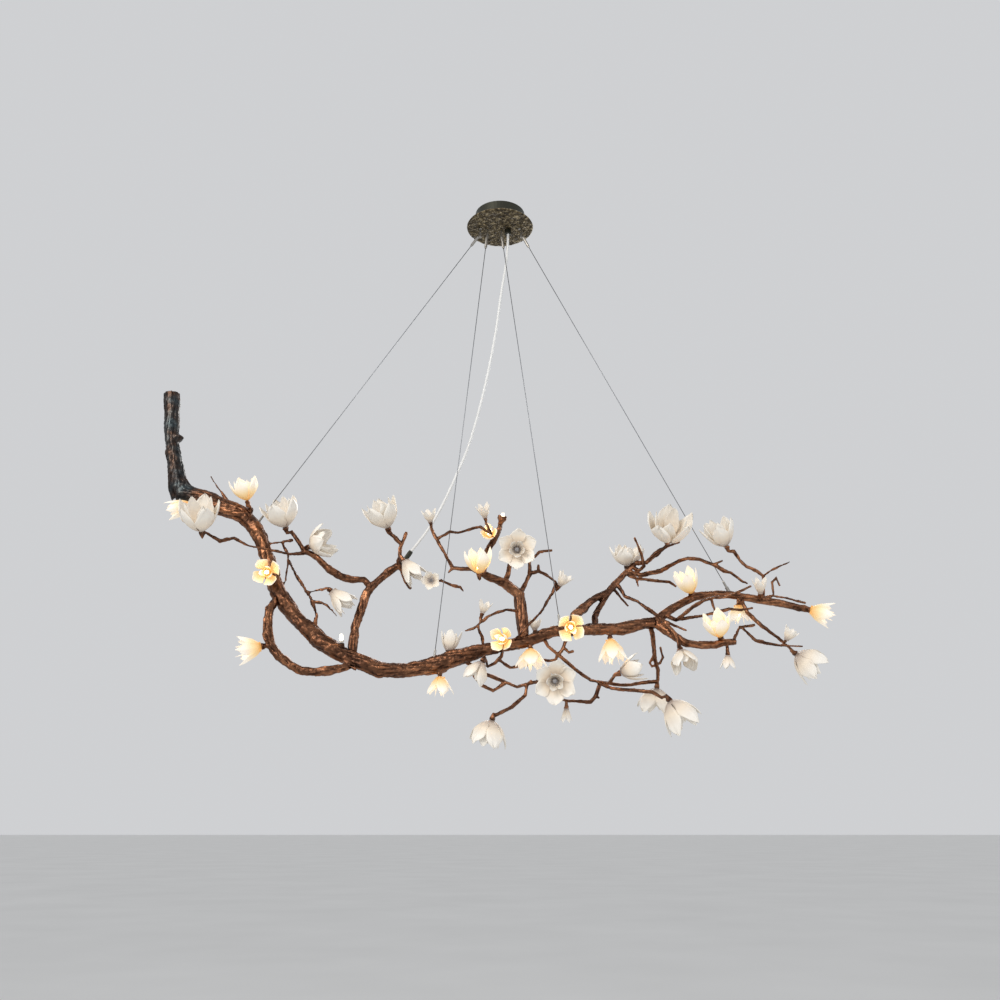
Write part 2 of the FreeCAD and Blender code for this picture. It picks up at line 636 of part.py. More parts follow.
limb("back_brace", "climbing_branch", "climbing", [
    (272, -231, 32, 7.5), (261, -248, 34, 7.5), (246, -271, 30, 7.5),
    (237, -291, 18, 7.5), (237, -320, -9, 7.5)], ends_on="trunk")
limb("thin_drop", "climbing_branch", "climbing", [
    (284, -222, 36, 4), (301, -245, 34, 3.5), (321, -266, 32, 3)])
limb("cross_twig", "climbing_branch", "climbing", [
    (295, -210, 37, 5.5), (312, -240, 14, 5), (344, -254, -6, 5),
    (367, -271, -24, 5), (387, -283, -30, 5), (404, -297, -34, 5),
    (421, -317, -38, 5), (439, -337, -42, 5), (446, -352, -44, 5)],
     flower="half_open_3")
limb("cross_twin", "climbing_branch", "cross_twig", [
    (404, -297, -34, 4), (436, -314, -38, 3.5), (467, -326, -40, 2.5)])

# the two limbs that carry the trunk on to the right
limb("upper_right", "upper_right_limb", "trunk", [
    (385, -306, 0, 12), (410, -289, 10, 12.5), (430, -271, 18, 12),
    (459, -257, 24, 11.5), (487, -242, 28, 11.5), (517, -237, 32, 11),
    (550, -237, 35, 11), (577, -237, 36, 11), (602, -241, 37, 11.5),
    (653, -251, 38, 10.5), (705, -259, 40, 10), (750, -270, 40, 9)],
     flower="lit_bell_5", sides=6)
stems("upper_right_limb", "upper_right", 5,
      ["lit_bell_4", "lit_cup_4", "small_9"])
limb("bright_twig", "upper_right_limb", "upper_right", [
    (650, -250, 38, 4), (674, -239, 42, 3), (722, -246, 44, 3),
    (765, -258, 44, 2.5)])
limb("spread_9_stem", "upper_right_limb", "upper_right", [
    (655, -252, 38, 6), (658, -230, 50, 5.5), (658, -190, 44, 5.5),
    (641, -177, 38, 5.5), (617, -167, 34, 5), (600, -151, 28, 5),
    (585, -128, 22, 5)], flower="spread_flower_9")
limb("high_right_twig", "upper_right_limb", "spread_9_stem", [
    (658, -192, 44, 5), (664, -185, 34, 4), (684, -172, 22, 4),
    (704, -163, 16, 3.5), (725, -154, 14, 2.5)])
limb("dark_high_twig", "upper_right_limb", "upper_right", [
    (664, -253, 38, 5), (684, -236, 52, 4), (680, -205, 58, 4),
    (690, -195, 60, 4), (700, -215, 60, 3)])
limb("slope_twig", "upper_right_limb", "upper_right", [
    (412, -288, 12, 6), (440, -300, -16, 5.5), (459, -286, -30, 5.5),
    (482, -268, -34, 5.5), (510, -251, -34, 5), (535, -243, -30, 5),
    (559, -243, -26, 4.5), (582, -236, -24, 4), (602, -225, -22, 4),
    (628, -215, -20, 3)])
limb("level_twig", "upper_right_limb", "slope_twig", [
    (441, -300, -16, 5), (473, -294, -24, 4.5), (505, -290, -26, 4.5),
    (526, -283, -26, 4.5), (551, -277, -26, 4.5), (572, -272, -26, 4),
    (602, -275, -26, 4), (633, -269, -24, 3)])
limb("level_link", "upper_right_limb", "slope_twig", [
    (529, -249, -32, 4), (539, -280, -26, 4)], ends_on="level_twig")
limb("falling_twig", "upper_right_limb", "upper_right", [
    (600, -241, 32, 6), (609, -262, 8, 5.5), (618, -280, 4, 5),
    (633, -295, 0, 5), (651, -312, -4, 5), (674, -328, -6, 5),
    (697, -346, -8, 5), (717, -366, -10, 5), (732, -377, -12, 5)],
     flower="spread_flower_8")

limb("lower_right", "lower_right_limb", "trunk", [
    (386, -308, 0, 11), (402, -318, -8, 11.5), (424, -332, -20, 11),
    (445, -346, -28, 10.5), (467, -358, -34, 10.5), (502, -363, -38, 10),
    (539, -362, -40, 10), (557, -356, -40, 9.5), (590, -354, -40, 7)],
     sides=8)
stems("lower_right_limb", "lower_right", 5, ["lit_cup_3"])
limb("small_7_stem", "lower_right_limb", "lower_right", [
    (566, -356, -40, 4.7), (569, -372, -46, 4.7)], flower="small_7")
limb("low_right_twig", "lower_right_limb", "lower_right", [
    (581, -355, -40, 5), (592, -334, -26, 5), (600, -318, -14, 4.5),
    (617, -315, -11, 4), (638, -312, -11, 3)])
limb("small_8_twig", "lower_right_limb", "low_right_twig", [
    (604, -318, -12, 4.2), (623, -336, -30, 4.5), (638, -351, -34, 4.5),
    (664, -357, -36, 4.5), (694, -364, -36, 4), (725, -366, -36, 3.5),
    (758, -366, -36, 2.5)])
limb("small_8_stem", "lower_right_limb", "small_8_twig", [
    (702, -364, -36, 4)], flower="small_8")

# the twigs that hang below the middle of the trunk
limb("hanging", "hanging_twigs", "trunk", [
    (-103, -394, 5, 6), (-86, -402, 22, 6), (-66, -417, 26, 5.5),
    (-46, -431, 28, 5.5), (-14, -445, 28, 5.5), (15, -457, 28, 5.5),
    (43, -467, 28, 5), (69, -460, 26, 5), (80, -451, 22, 4)])
limb("hanging_twin", "hanging_twigs", "hanging", [
    (-76, -410, 24, 5), (-71, -428, 22, 5), (-57, -448, 22, 4.5),
    (-46, -463, 24, 4.5), (-17, -477, 26, 4.5), (13, -459, 28, 5)],
     ends_on="hanging")
limb("open_2_stem", "hanging_twigs", "hanging", [
    (70, -459, 26, 5), (104, -452, 10, 5), (130, -451, -12, 5.5)],
     flower="open_flower_2")
limb("spread_5_stem", "hanging_twigs", "hanging", [
    (68, -460, 26, 5), (63, -488, 20, 5), (46, -503, 14, 5),
    (26, -520, 8, 5), (3, -531, 2, 5), (-12, -538, 0, 5)],
     flower="spread_flower_5")
limb("short_hanger", "hanging_twigs", "trunk", [
    (9, -366, 8, 6), (3, -391, 16, 5), (-11, -407, 16, 5),
    (-31, -416, 8, 4.5)], flower="half_open_2")
limb("side_hanger", "hanging_twigs", "short_hanger", [
    (-3, -400, 16, 4.5), (26, -419, 24, 4.5), (55, -414, 34, 4.5),
    (83, -411, 42, 4), (100, -422, 44, 3)])
limb("web_twig", "hanging_twigs", "trunk", [
    (106, -338, 2, 6), (120, -365, 8, 5), (135, -382, 10, 5),
    (143, -388, 10, 5), (172, -411, 12, 5), (198, -431, 12, 5),
    (227, -451, 10, 5), (250, -457, 8, 5), (270, -459, 6, 5),
    (299, -462, 6, 5), (328, -462, 8, 5), (351, -457, 12, 5)],
     flower="spread_flower_6")
limb("web_left", "hanging_twigs", "web_twig", [
    (143, -388, 10, 5), (140, -399, 16, 4.5), (123, -402, 24, 4.5),
    (97, -399, 34, 4), (84, -396, 37, 3)])
limb("web_right", "hanging_twigs", "trunk", [
    (166, -326, -2, 5), (164, -353, 8, 5), (155, -376, 10, 5),
    (143, -388, 10, 5)], ends_on="web_twig")
limb("web_spur", "hanging_twigs", "web_right", [
    (158, -368, 9, 4.5), (172, -381, 4, 4), (184, -378, 0, 3)])
limb("lower_strand", "hanging_twigs", "web_twig", [
    (243, -456, 9, 5), (279, -471, -10, 4.5), (322, -474, -22, 4.5),
    (362, -477, -32, 4.5), (380, -480, -36, 5), (405, -494, -42, 5)],
     flower="spread_flower_7")
limb("half_open_4_stem", "hanging_twigs", "web_twig", [
    (270, -459, 6, 5), (282, -445, 0, 5)], flower="half_open_4")
limb("foot_twig", "hanging_twigs", "web_twig", [
    (250, -457, 8, 5), (246, -475, 8, 5), (239, -491, 6, 5),
    (227, -505, 4, 5), (202, -502, 2, 4.5), (172, -502, 2, 4.5),
    (150, -498, 2, 3)])
limb("foot_spur", "hanging_twigs", "foot_twig", [
    (239, -491, 6, 4), (249, -496, 6, 2.5)])
limb("small_6_stem", "hanging_twigs", "foot_twig", [
    (167, -502, 2, 4)], flower="small_6")
limb("right_hanger", "hanging_twigs", "trunk", [
    (376, -307, 0, 6), (383, -350, 14, 5.5), (384, -376, 18, 5.5),
    (388, -399, 20, 5.5), (395, -425, 24, 5.5), (394, -451, 28, 5),
    (392, -462, 32, 5)], ends_on="web_twig")
limb("right_loop", "hanging_twigs", "right_hanger", [
    (385, -388, 19, 4.5), (374, -407, 24, 4), (380, -416, 26, 4),
    (400, -407, 26, 4), (408, -393, 26, 4), (400, -367, 26, 3)])


def sound(shape, least):
    return shape.isValid() and shape.Volume > least


def melt(solids):
    """One casting from overlapping limbs; a limb that won't melt is coped."""
    heaviest = max(solid.Volume for solid in solids)
    whole = solids[0]
    if len(solids) > 1:
        whole = whole.multiFuse(solids[1:])
    if sound(whole, heaviest * 0.999):
        return whole
    whole = solids[0]
    loose = []
    for solid in solids[1:]:
        grown = whole.fuse(solid)
        if sound(grown, whole.Volume):
            whole = grown
        else:
            loose.append(solid)
    for solid in loose:
        whole = Part.makeCompound([whole, solid.cut(whole)])
    return whole


castings = {}
for name, solids in CASTINGS.items():
    whole = melt(solids)
    for earlier in castings.values():
        if whole.BoundBox.intersect(earlier.BoundBox):
            whole = whole.cut(earlier)
    castings[name] = whole
sleeve = flowers["lamp_sleeve"]
castings["upright_branch"] = Part.makeCompound(
    castings["upright_branch"].Solids + [corolla(sleeve)])
for name, whole in castings.items():
    shaped(name, whole)

# ------------------------------------------------------ flowers and lamps
groups = {}
holders = []
capsules = []
nuts = []
for name, flower in flowers.items():
    if flower.lit:
        holders.append(lamp_holder(flower))
        capsules.append(lamp_capsule(flower))
    else:
        nuts.append(flower_nut(flower))
    if flower.kind in ("bare", "sleeve"):
        continue
    family = name.rsplit("_", 1)[0]
    if family in GROUPS:
        groups.setdefault(GROUPS[family], []).append(corolla(flower))
    else:
        shaped(name, corolla(flower))
for label, solids in groups.items():
    shaped(label, Part.makeCompound(solids))
shaped("lamp_holders", Part.makeCompound(holders))
shaped("lamp_capsules", Part.makeCompound(capsules))
shaped("flower_nuts", Part.makeCompound(nuts))

# ---------------------------------------------------------------- canopy
EYES = [-56, -36, 4, 60]
GLAND_ACROSS = 22.6
disc_bottom = -size("disc_drop") - size("disc_thickness")
floor_top = -size("cup_height") + size("cup_wall")
hinge_height = disc_bottom - size("eye_drop")

plate = primitive("Box", "BracketPlate", (
    "-<<Sizes>>.bracket_length / 2", "-<<Sizes>>.bracket_width / 2",
    "-<<Sizes>>.bracket_plate"), Length="<<Sizes>>.bracket_length",
    Width="<<Sizes>>.bracket_width", Height="<<Sizes>>.bracket_plate")
holes = []
for side in ("-", ""):
    holes.append(primitive("Cylinder", "WallHole", (
        side + "<<Sizes>>.bracket_hole_pitch / 2", 0,
        "-2 * <<Sizes>>.bracket_plate"), Radius="<<Sizes>>.bracket_hole / 2",
        Height="3 * <<Sizes>>.bracket_plate"))
    holes.append(prism("ScrewHole", 8, (
        side + "<<Sizes>>.canopy_screw_pitch / 2", 0,
        "-2 * <<Sizes>>.bracket_plate"),
        "<<Sizes>>.canopy_screw / 2 + 1.5 * <<Sizes>>.fit_gap",
        "3 * <<Sizes>>.bracket_plate"))
bracket = cut("CeilingBracket", plate, holes)
bracket.Label = "ceiling_bracket"


def canopy_openings(name, low, high):
    """Holes for the canopy screws, the cable studs and the cord gland."""
    tools = []
    spots = [("-<<Sizes>>.canopy_screw_pitch / 2", 0, "canopy_screw / 2"),
             ("<<Sizes>>.canopy_screw_pitch / 2", 0, "canopy_screw / 2"),
             (GLAND_ACROSS, "<<Sizes>>.eye_row_depth", "gland_thread / 2")]
    spots += [(x, "<<Sizes>>.eye_row_depth", "eye_wire") for x in EYES]
    for x, y, radius in spots:
        tools.append(prism(name + "Hole", 8, (x, y, low),
                           "<<Sizes>>." + radius
                           + " + 1.5 * <<Sizes>>.fit_gap", high))
    return tools


CUP_SIDES = 48
shell = prism("CupShell", CUP_SIDES, (0, 0, "-<<Sizes>>.cup_height"),
              "<<Sizes>>.cup_diameter / 2", "<<Sizes>>.cup_height")
hollow = prism("CupHollow", CUP_SIDES, (
    0, 0, "-<<Sizes>>.cup_height + <<Sizes>>.cup_wall"),
    "<<Sizes>>.cup_diameter / 2 - <<Sizes>>.cup_wall",
    "<<Sizes>>.cup_height")
cup = cut("CanopyCup", shell, [hollow] + canopy_openings(
    "Cup", "-<<Sizes>>.cup_height - 1", "<<Sizes>>.cup_wall + 2"))
cup.Label = "canopy_cup"

# the hammered disc, turned from one profile as a body of its own
body = doc.addObject("PartDesign::Body", "DiscBody")
profile = body.newObject("Sketcher::SketchObject", "DiscProfile")
profile.AttachmentSupport = [(body.Origin.OriginFeatures[4], "")]
profile.MapMode = "FlatFace"
CORNERS = [("0", "disc_drop"), ("disc_diameter / 2 - 3", "disc_drop"),
           ("disc_diameter / 2", "disc_drop + <<Sizes>>.disc_thickness / 2"),
           ("disc_diameter / 2 - 2",
            "disc_drop + <<Sizes>>.disc_thickness"),
           ("0", "disc_drop + <<Sizes>>.disc_thickness")]
DRAWN = [(0, -39), (90.5, -39), (93.5, -41.5), (91.5, -44), (0, -44)]
for a, b in zip(DRAWN, DRAWN[1:] + DRAWN[:1]):
    profile.addGeometry(Part.LineSegment(V(a[0], a[1], 0), V(b[0], b[1], 0)))
for i in range(5):
    profile.addConstraint(
        Sketcher.Constraint("Coincident", i, 2, (i + 1) % 5, 1))
for i, (out, down) in enumerate(CORNERS):
    if out == "0":
        profile.addConstraint(Sketcher.Constraint("PointOnObject", i, 1, -2))
    else:
        rule = profile.addConstraint(
            Sketcher.Constraint("DistanceX", -1, 1, i, 1, DRAWN[i][0]))
        profile.setExpression("Constraints[%d]" % rule, "<<Sizes>>." + out)
    rule = profile.addConstraint(
        Sketcher.Constraint("DistanceY", i, 1, -1, 1, -DRAWN[i][1]))
    profile.setExpression("Constraints[%d]" % rule, "<<Sizes>>." + down)
turning = body.newObject("PartDesign::Revolution", "DiscTurned")
turning.Profile = profile
turning.ReferenceAxis = (profile, ["V_Axis"])
turning.Angle = 360
disc = cut("CanopyDisc", body, canopy_openings(
    "Disc", "-<<Sizes>>.disc_drop - <<Sizes>>.disc_thickness - 1",
    "<<Sizes>>.disc_thickness + 2"))
disc.Label = "canopy_disc"

screws = []
for side in ("-", ""):
    spot = side + "<<Sizes>>.canopy_screw_pitch / 2"
    below = "-<<Sizes>>.disc_drop - <<Sizes>>.disc_thickness"
    screws.append(prism(
        "ScrewShank", 8, (spot, 0, below), "<<Sizes>>.canopy_screw / 2",
        "<<Sizes>>.disc_drop + <<Sizes>>.disc_thickness - 1"))
    screws.append(prism(
        "ScrewHead", 12, (spot, 0, below + " - 2.5"),
        "<<Sizes>>.canopy_screw", "2.5"))
joined("CanopyScrews", screws).Label = "canopy_screws"

gland_at = (GLAND_ACROSS, "<<Sizes>>.eye_row_depth")
gland = [
    prism("GlandBody", 16, gland_at + (
        "-<<Sizes>>.disc_drop - <<Sizes>>.disc_thickness"
        " - <<Sizes>>.gland_height",),
        "<<Sizes>>.gland_diameter / 2", "<<Sizes>>.gland_height"),
    prism("GlandThread", 8, gland_at + (
        "-<<Sizes>>.disc_drop - <<Sizes>>.disc_thickness",),
        "<<Sizes>>.gland_thread / 2",
        "<<Sizes>>.disc_thickness + <<Sizes>>.disc_drop"
        " - <<Sizes>>.cup_height + <<Sizes>>.cup_wall"
        " + <<Sizes>>.lock_nut"),
    prism("LockNut", 6, gland_at + (
        "-<<Sizes>>.cup_height + <<Sizes>>.cup_wall",),
        "<<Sizes>>.gland_diameter / 2 - 1", "<<Sizes>>.lock_nut")]
joined("CordGland", gland).Label = "cord_gland"

driver = primitive("Box", "LedDriver", (
    "-<<Sizes>>.driver_length / 2", "-<<Sizes>>.driver_width / 2",
    "-<<Sizes>>.bracket_plate - <<Sizes>>.driver_height"),
    Length="<<Sizes>>.driver_length", Width="<<Sizes>>.driver_width",
    Height="<<Sizes>>.driver_height")
driver.Label = "led_driver"
terminal = primitive("Box", "TerminalBlock", (
    "-<<Sizes>>.terminal_length / 2", "26",
    "-<<Sizes>>.cup_height + <<Sizes>>.cup_wall"),
    Length="<<Sizes>>.terminal_length", Width="<<Sizes>>.terminal_width",
    Height="<<Sizes>>.terminal_height")
terminal.Label = "terminal_block"

# ------------------------------------------------------------ suspension
UP = V(0, 0, 1)
RIGHT = V(1, 0, 0)
gap = size("fit_gap")
row = size("eye_row_depth")
LUG_HALF = 1.5
CHEEK = 1.5
# where each cable meets the branch, drawn: (limb, across, up)
ANCHORS = [("trunk", -613, -68), ("trunk", -167, -413),
           ("trunk", 152, -326), ("upper_right", 577, -237)]


def block(low, high):
    """A box between two corners."""
    span = high - low
    return Part.makeBox(span.x, span.y, span.z, low)


def cable_eye(across):
    """A drilled lug under the disc, with its stud and nut above."""
    hinge = V(across, row, hinge_height)
    lug = block(hinge - V(LUG_HALF, 4, 4),
                V(across + LUG_HALF, row + 4, disc_bottom))
    reach = size("eye_bore") / 2 / math.cos(math.pi / 8)
    bore = turned(hinge - RIGHT * 5, RIGHT, [(reach, 0), (reach, 10)],
                  sides=8)
    foot = V(across, row, disc_bottom)
    lift = floor_top - disc_bottom
    wire = size("eye_wire")
    stud = turned(foot, UP, [(wire, -2), (wire, lift), (wire + 2, lift),
                             (wire + 2, lift + size("lock_nut"))])
    return lug.cut(bore).fuse(stud)


def cable_grip(hinge, along):
    """A clevis on the eye, carrying a barrel in line with the cable."""
    pin_radius = size("eye_bore") / 2 - gap
    wide = LUG_HALF + gap + CHEEK
    pin = turned(hinge - RIGHT * wide, RIGHT,
                 [(pin_radius, 0), (pin_radius, 2 * wide)])
    solid = pin
    for side in (-1, 1):
        middle = hinge + RIGHT * (side * (wide - CHEEK / 2))
        solid = solid.fuse(block(middle - V(CHEEK / 2, 3, 9),
                                 middle + V(CHEEK / 2, 3, 3)))
    solid = solid.fuse(block(hinge - V(wide, 4, 11),
                             hinge + V(wide, 4, -6.6)))
    outer = size("grip_diameter") / 2
    bore = size("sleeve_diameter") / 2 + gap
    long = size("grip_length")
    deep = size("sleeve_length") * 0.55 + size("sleeve_travel") + 1
    barrel = turned(hinge + along * 9, along, [
        (outer * 0.7, 0), (outer, 3), (outer, long), (bore, long),
        (bore, long - deep)], sides=8)
    return solid.fuse(barrel)


def release_sleeve(hinge, along):
    """The sleeve pushed up into the barrel to free the cable."""
    outer = size("sleeve_diameter") / 2
    inner = size("cable_diameter") / 2 + gap
    low = 9 + size("grip_length") + size("sleeve_length") * 0.45
    high = low - size("sleeve_length")
    rings = [circle_points(hinge + along * out, along, radius, 8)
             for radius, out in [(outer, high), (outer, low),
                                 (inner, low), (inner, high)]]
    return skin(rings, ring_loop=True)


eyes = []
grips = []
cables = []
anchors = []
for number, (across, (holder, far, up)) in enumerate(zip(EYES, ANCHORS), 1):
    hinge = V(across, row, hinge_height)
    foot = place(*nearest_on(holder, far, up))
    along = (foot - hinge).normalize()
    reach = (foot - hinge).Length
    eyes.append(cable_eye(across))
    grips.append(cable_grip(hinge, along))
    shaped("release_sleeve_%d" % number, release_sleeve(hinge, along))
    deep = size("sleeve_length") * 0.55 + size("sleeve_travel") + 1
    start = 9 + size("grip_length") - deep
    stop = reach - 22 * growth - size("anchor_length")
    thick = size("cable_diameter") / 2
    cables.append(turned(hinge + along * start, along,
                         [(thick, 0), (thick, stop - start)]))
    wide = size("anchor_diameter") / 2
    anchor = turned(hinge + along * stop, along, [
        (wide * 0.7, 0), (wide, 3), (wide, size("anchor_length")),
        (wide * 1.6, size("anchor_length")),
        (wide * 1.6, reach - stop)], sides=8)
    for casting in castings.values():
        if anchor.BoundBox.intersect(casting.BoundBox):
            anchor = anchor.cut(casting)
    solids = sorted(anchor.Solids, key=lambda solid: -solid.Volume)
    anchors.append(solids[0])
shaped("cable_eyes", Part.makeCompound(eyes))
shaped("cable_grips", Part.makeCompound(grips))
shaped("suspension_cables", Part.makeCompound(cables))
shaped("cable_anchors", Part.makeCompound(anchors))

# ------------------------------------------------------------ power cord
# (across, up, depth) of each bend, from under the canopy to the fork
CORD_BENDS = [
    (16, 590, 18), (3, 520, 25), (-6.5, 445, 28),
    (-20, 365, 29), (-37, 285, 31), (-57, 205, 33), (-81, 125, 35),
    (-114, 50, 38), (-147, -20, 41), (-182, -80, 44)]
CORD_END = (-222, -128, 48)
FORK_ENTRY = (-249, -166, 50)
BEND_TRIM = 14.0
CORD_GAP = 0.4
CORD_SIDES = 10

gland_mouth = V(GLAND_ACROSS, row, hinge_height - CORD_GAP)
entry = place(*FORK_ENTRY)
cord_end = place(*CORD_END)
drawn_end = seen(*CORD_END)


def cord_point(across, up, depth):
    """A bend of the cord, kept between the gland and the branch."""
    spot = seen(across, up, depth)
    share = V((cord_end.x - gland_mouth.x) / (drawn_end.x - GLAND_ACROSS),
              (cord_end.y - gland_mouth.y) / (drawn_end.y - 10.0),
              (cord_end.z - gland_mouth.z) / (drawn_end.z + 56.4))
    return V(gland_mouth.x + (spot.x - GLAND_ACROSS) * share.x,
             gland_mouth.y + (spot.y - 10.0) * share.y,
             gland_mouth.z + (spot.z + 56.4) * share.z)


cord_route = [gland_mouth, gland_mouth - V(0, 0, 30)]
cord_route += [cord_point(*bend) for bend in CORD_BENDS]
cord_route.append(cord_end)
centreline = [cord_route[0]]
cord_length = 0.0
for before, here, after in zip(cord_route, cord_route[1:], cord_route[2:]):
    back = (before - here).normalize()
    ahead = (after - here).normalize()
    half_turn = back.getAngle(ahead) / 2
    swing = (math.pi / 2 - half_turn) * 2
    radius = BEND_TRIM * math.tan(half_turn)
    inward = (back + ahead).normalize()
    centre = here + inward * (BEND_TRIM / math.cos(half_turn))
    cord_length += (here + back * BEND_TRIM - centreline[-1]).Length
    cord_length += radius * swing
    centreline += [here + back * BEND_TRIM, centre - inward * radius,
                   here + ahead * BEND_TRIM]
cord_length += (cord_route[-1] - centreline[-1]).Length
centreline.append(cord_route[-1])
cord = rod(centreline, [size("cord_diameter") / 2] * len(centreline),
           CORD_SIDES)
shaped("power_cord", cord)
print("cord length %.1f mm" % cord_length)
for point in cord_route:
    print("cord point %.2f %.2f %.2f" % tuple(point))

inlet_axis = (cord_end - entry).normalize()
inlet = turned(entry, inlet_axis, [
    (6.5, 0), (6.5, (cord_end - entry).Length - 4),
    (5.2, (cord_end - entry).Length)], sides=8)
inlet = inlet.cut(castings["fork_branch"])
shaped("branch_gland", max(inlet.Solids, key=lambda solid: solid.Volume))

# ---------------------------------------------------------------- export
doc.recompute()
LABELS = ["ceiling_bracket", "canopy_cup", "canopy_disc", "canopy_screws",
          "cord_gland", "led_driver", "terminal_block"]
for item in doc.Objects:
    if "Invalid" in item.State or "Error" in item.State:
        raise RuntimeError("not built: " + item.Label)
nodes = [item for item in doc.Objects
         if item.Label in LABELS or item.TypeId == "Part::Feature"]
for item in nodes:
    shape = item.Shape
    if shape.isNull() or not shape.isValid() or shape.Volume <= 0:
        raise RuntimeError("not a sound solid: " + item.Label)
    shape.exportStep("parts/%s.step" % item.Label)
print("parts", len(nodes))
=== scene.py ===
import math
import random

import bmesh
import bpy
import numpy as np
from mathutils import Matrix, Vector, noise
from mathutils.bvhtree import BVHTree


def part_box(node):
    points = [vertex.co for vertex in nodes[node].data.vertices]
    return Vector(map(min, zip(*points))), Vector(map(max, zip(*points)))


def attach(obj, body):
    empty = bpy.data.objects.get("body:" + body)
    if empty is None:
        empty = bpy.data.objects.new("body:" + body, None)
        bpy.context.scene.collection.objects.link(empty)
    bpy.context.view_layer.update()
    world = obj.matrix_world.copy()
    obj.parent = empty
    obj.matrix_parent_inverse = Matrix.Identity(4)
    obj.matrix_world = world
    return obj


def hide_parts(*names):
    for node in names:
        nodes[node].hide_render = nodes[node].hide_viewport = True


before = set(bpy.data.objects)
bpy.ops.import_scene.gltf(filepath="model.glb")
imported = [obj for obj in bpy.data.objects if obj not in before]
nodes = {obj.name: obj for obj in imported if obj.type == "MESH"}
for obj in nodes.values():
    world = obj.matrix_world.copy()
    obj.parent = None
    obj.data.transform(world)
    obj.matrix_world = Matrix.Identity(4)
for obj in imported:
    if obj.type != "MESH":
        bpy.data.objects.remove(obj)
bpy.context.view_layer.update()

UP = Vector((0, 0, 1))
SAME_POINT = 1e-6       # corners nearer than this are one, in metres
FULL_TURN = 2 * math.pi
PETAL_GLOW = 0.30       # how strongly a lit petal shines through
LAMP_GLOW = 9.0


# -------------------------------------------------------------- materials
def fine_grain():
    """Node group: the faint mottling that every plain finish has."""
    group = bpy.data.node_groups.new("fine grain", "ShaderNodeTree")
    for name, way, kind in (("Place", "INPUT", "NodeSocketVector"),
                            ("Colour", "INPUT", "NodeSocketColor"),
                            ("Scale", "INPUT", "NodeSocketFloat"),
                            ("Darkest", "INPUT", "NodeSocketFloat"),
                            ("Colour", "OUTPUT", "NodeSocketColor"),
                            ("Height", "OUTPUT", "NodeSocketFloat")):
        group.interface.new_socket(name, in_out=way, socket_type=kind)
    given = group.nodes.new("NodeGroupInput").outputs
    result = group.nodes.new("NodeGroupOutput").inputs
    speck = group.nodes.new("ShaderNodeTexNoise")
    speck.inputs["Detail"].default_value = 4
    speck.inputs["Roughness"].default_value = 0.6
    group.links.new(given["Place"], speck.inputs["Vector"])
    group.links.new(given["Scale"], speck.inputs["Scale"])
    shade = group.nodes.new("ShaderNodeMapRange")
    shade.inputs["From Min"].default_value = 0.3
    shade.inputs["From Max"].default_value = 0.7
    group.links.new(speck.outputs["Fac"], shade.inputs["Value"])
    group.links.new(given["Darkest"], shade.inputs["To Min"])
    tint = group.nodes.new("ShaderNodeMix")
    tint.data_type = "RGBA"
    tint.blend_type = "MULTIPLY"
    tint.inputs[0].default_value = 1
    group.links.new(given["Colour"], tint.inputs[6])
    group.links.new(shade.outputs["Result"], tint.inputs[7])
    group.links.new(tint.outputs[2], result["Colour"])
    group.links.new(speck.outputs["Fac"], result["Height"])
    return group


FINE_GRAIN = fine_grain()


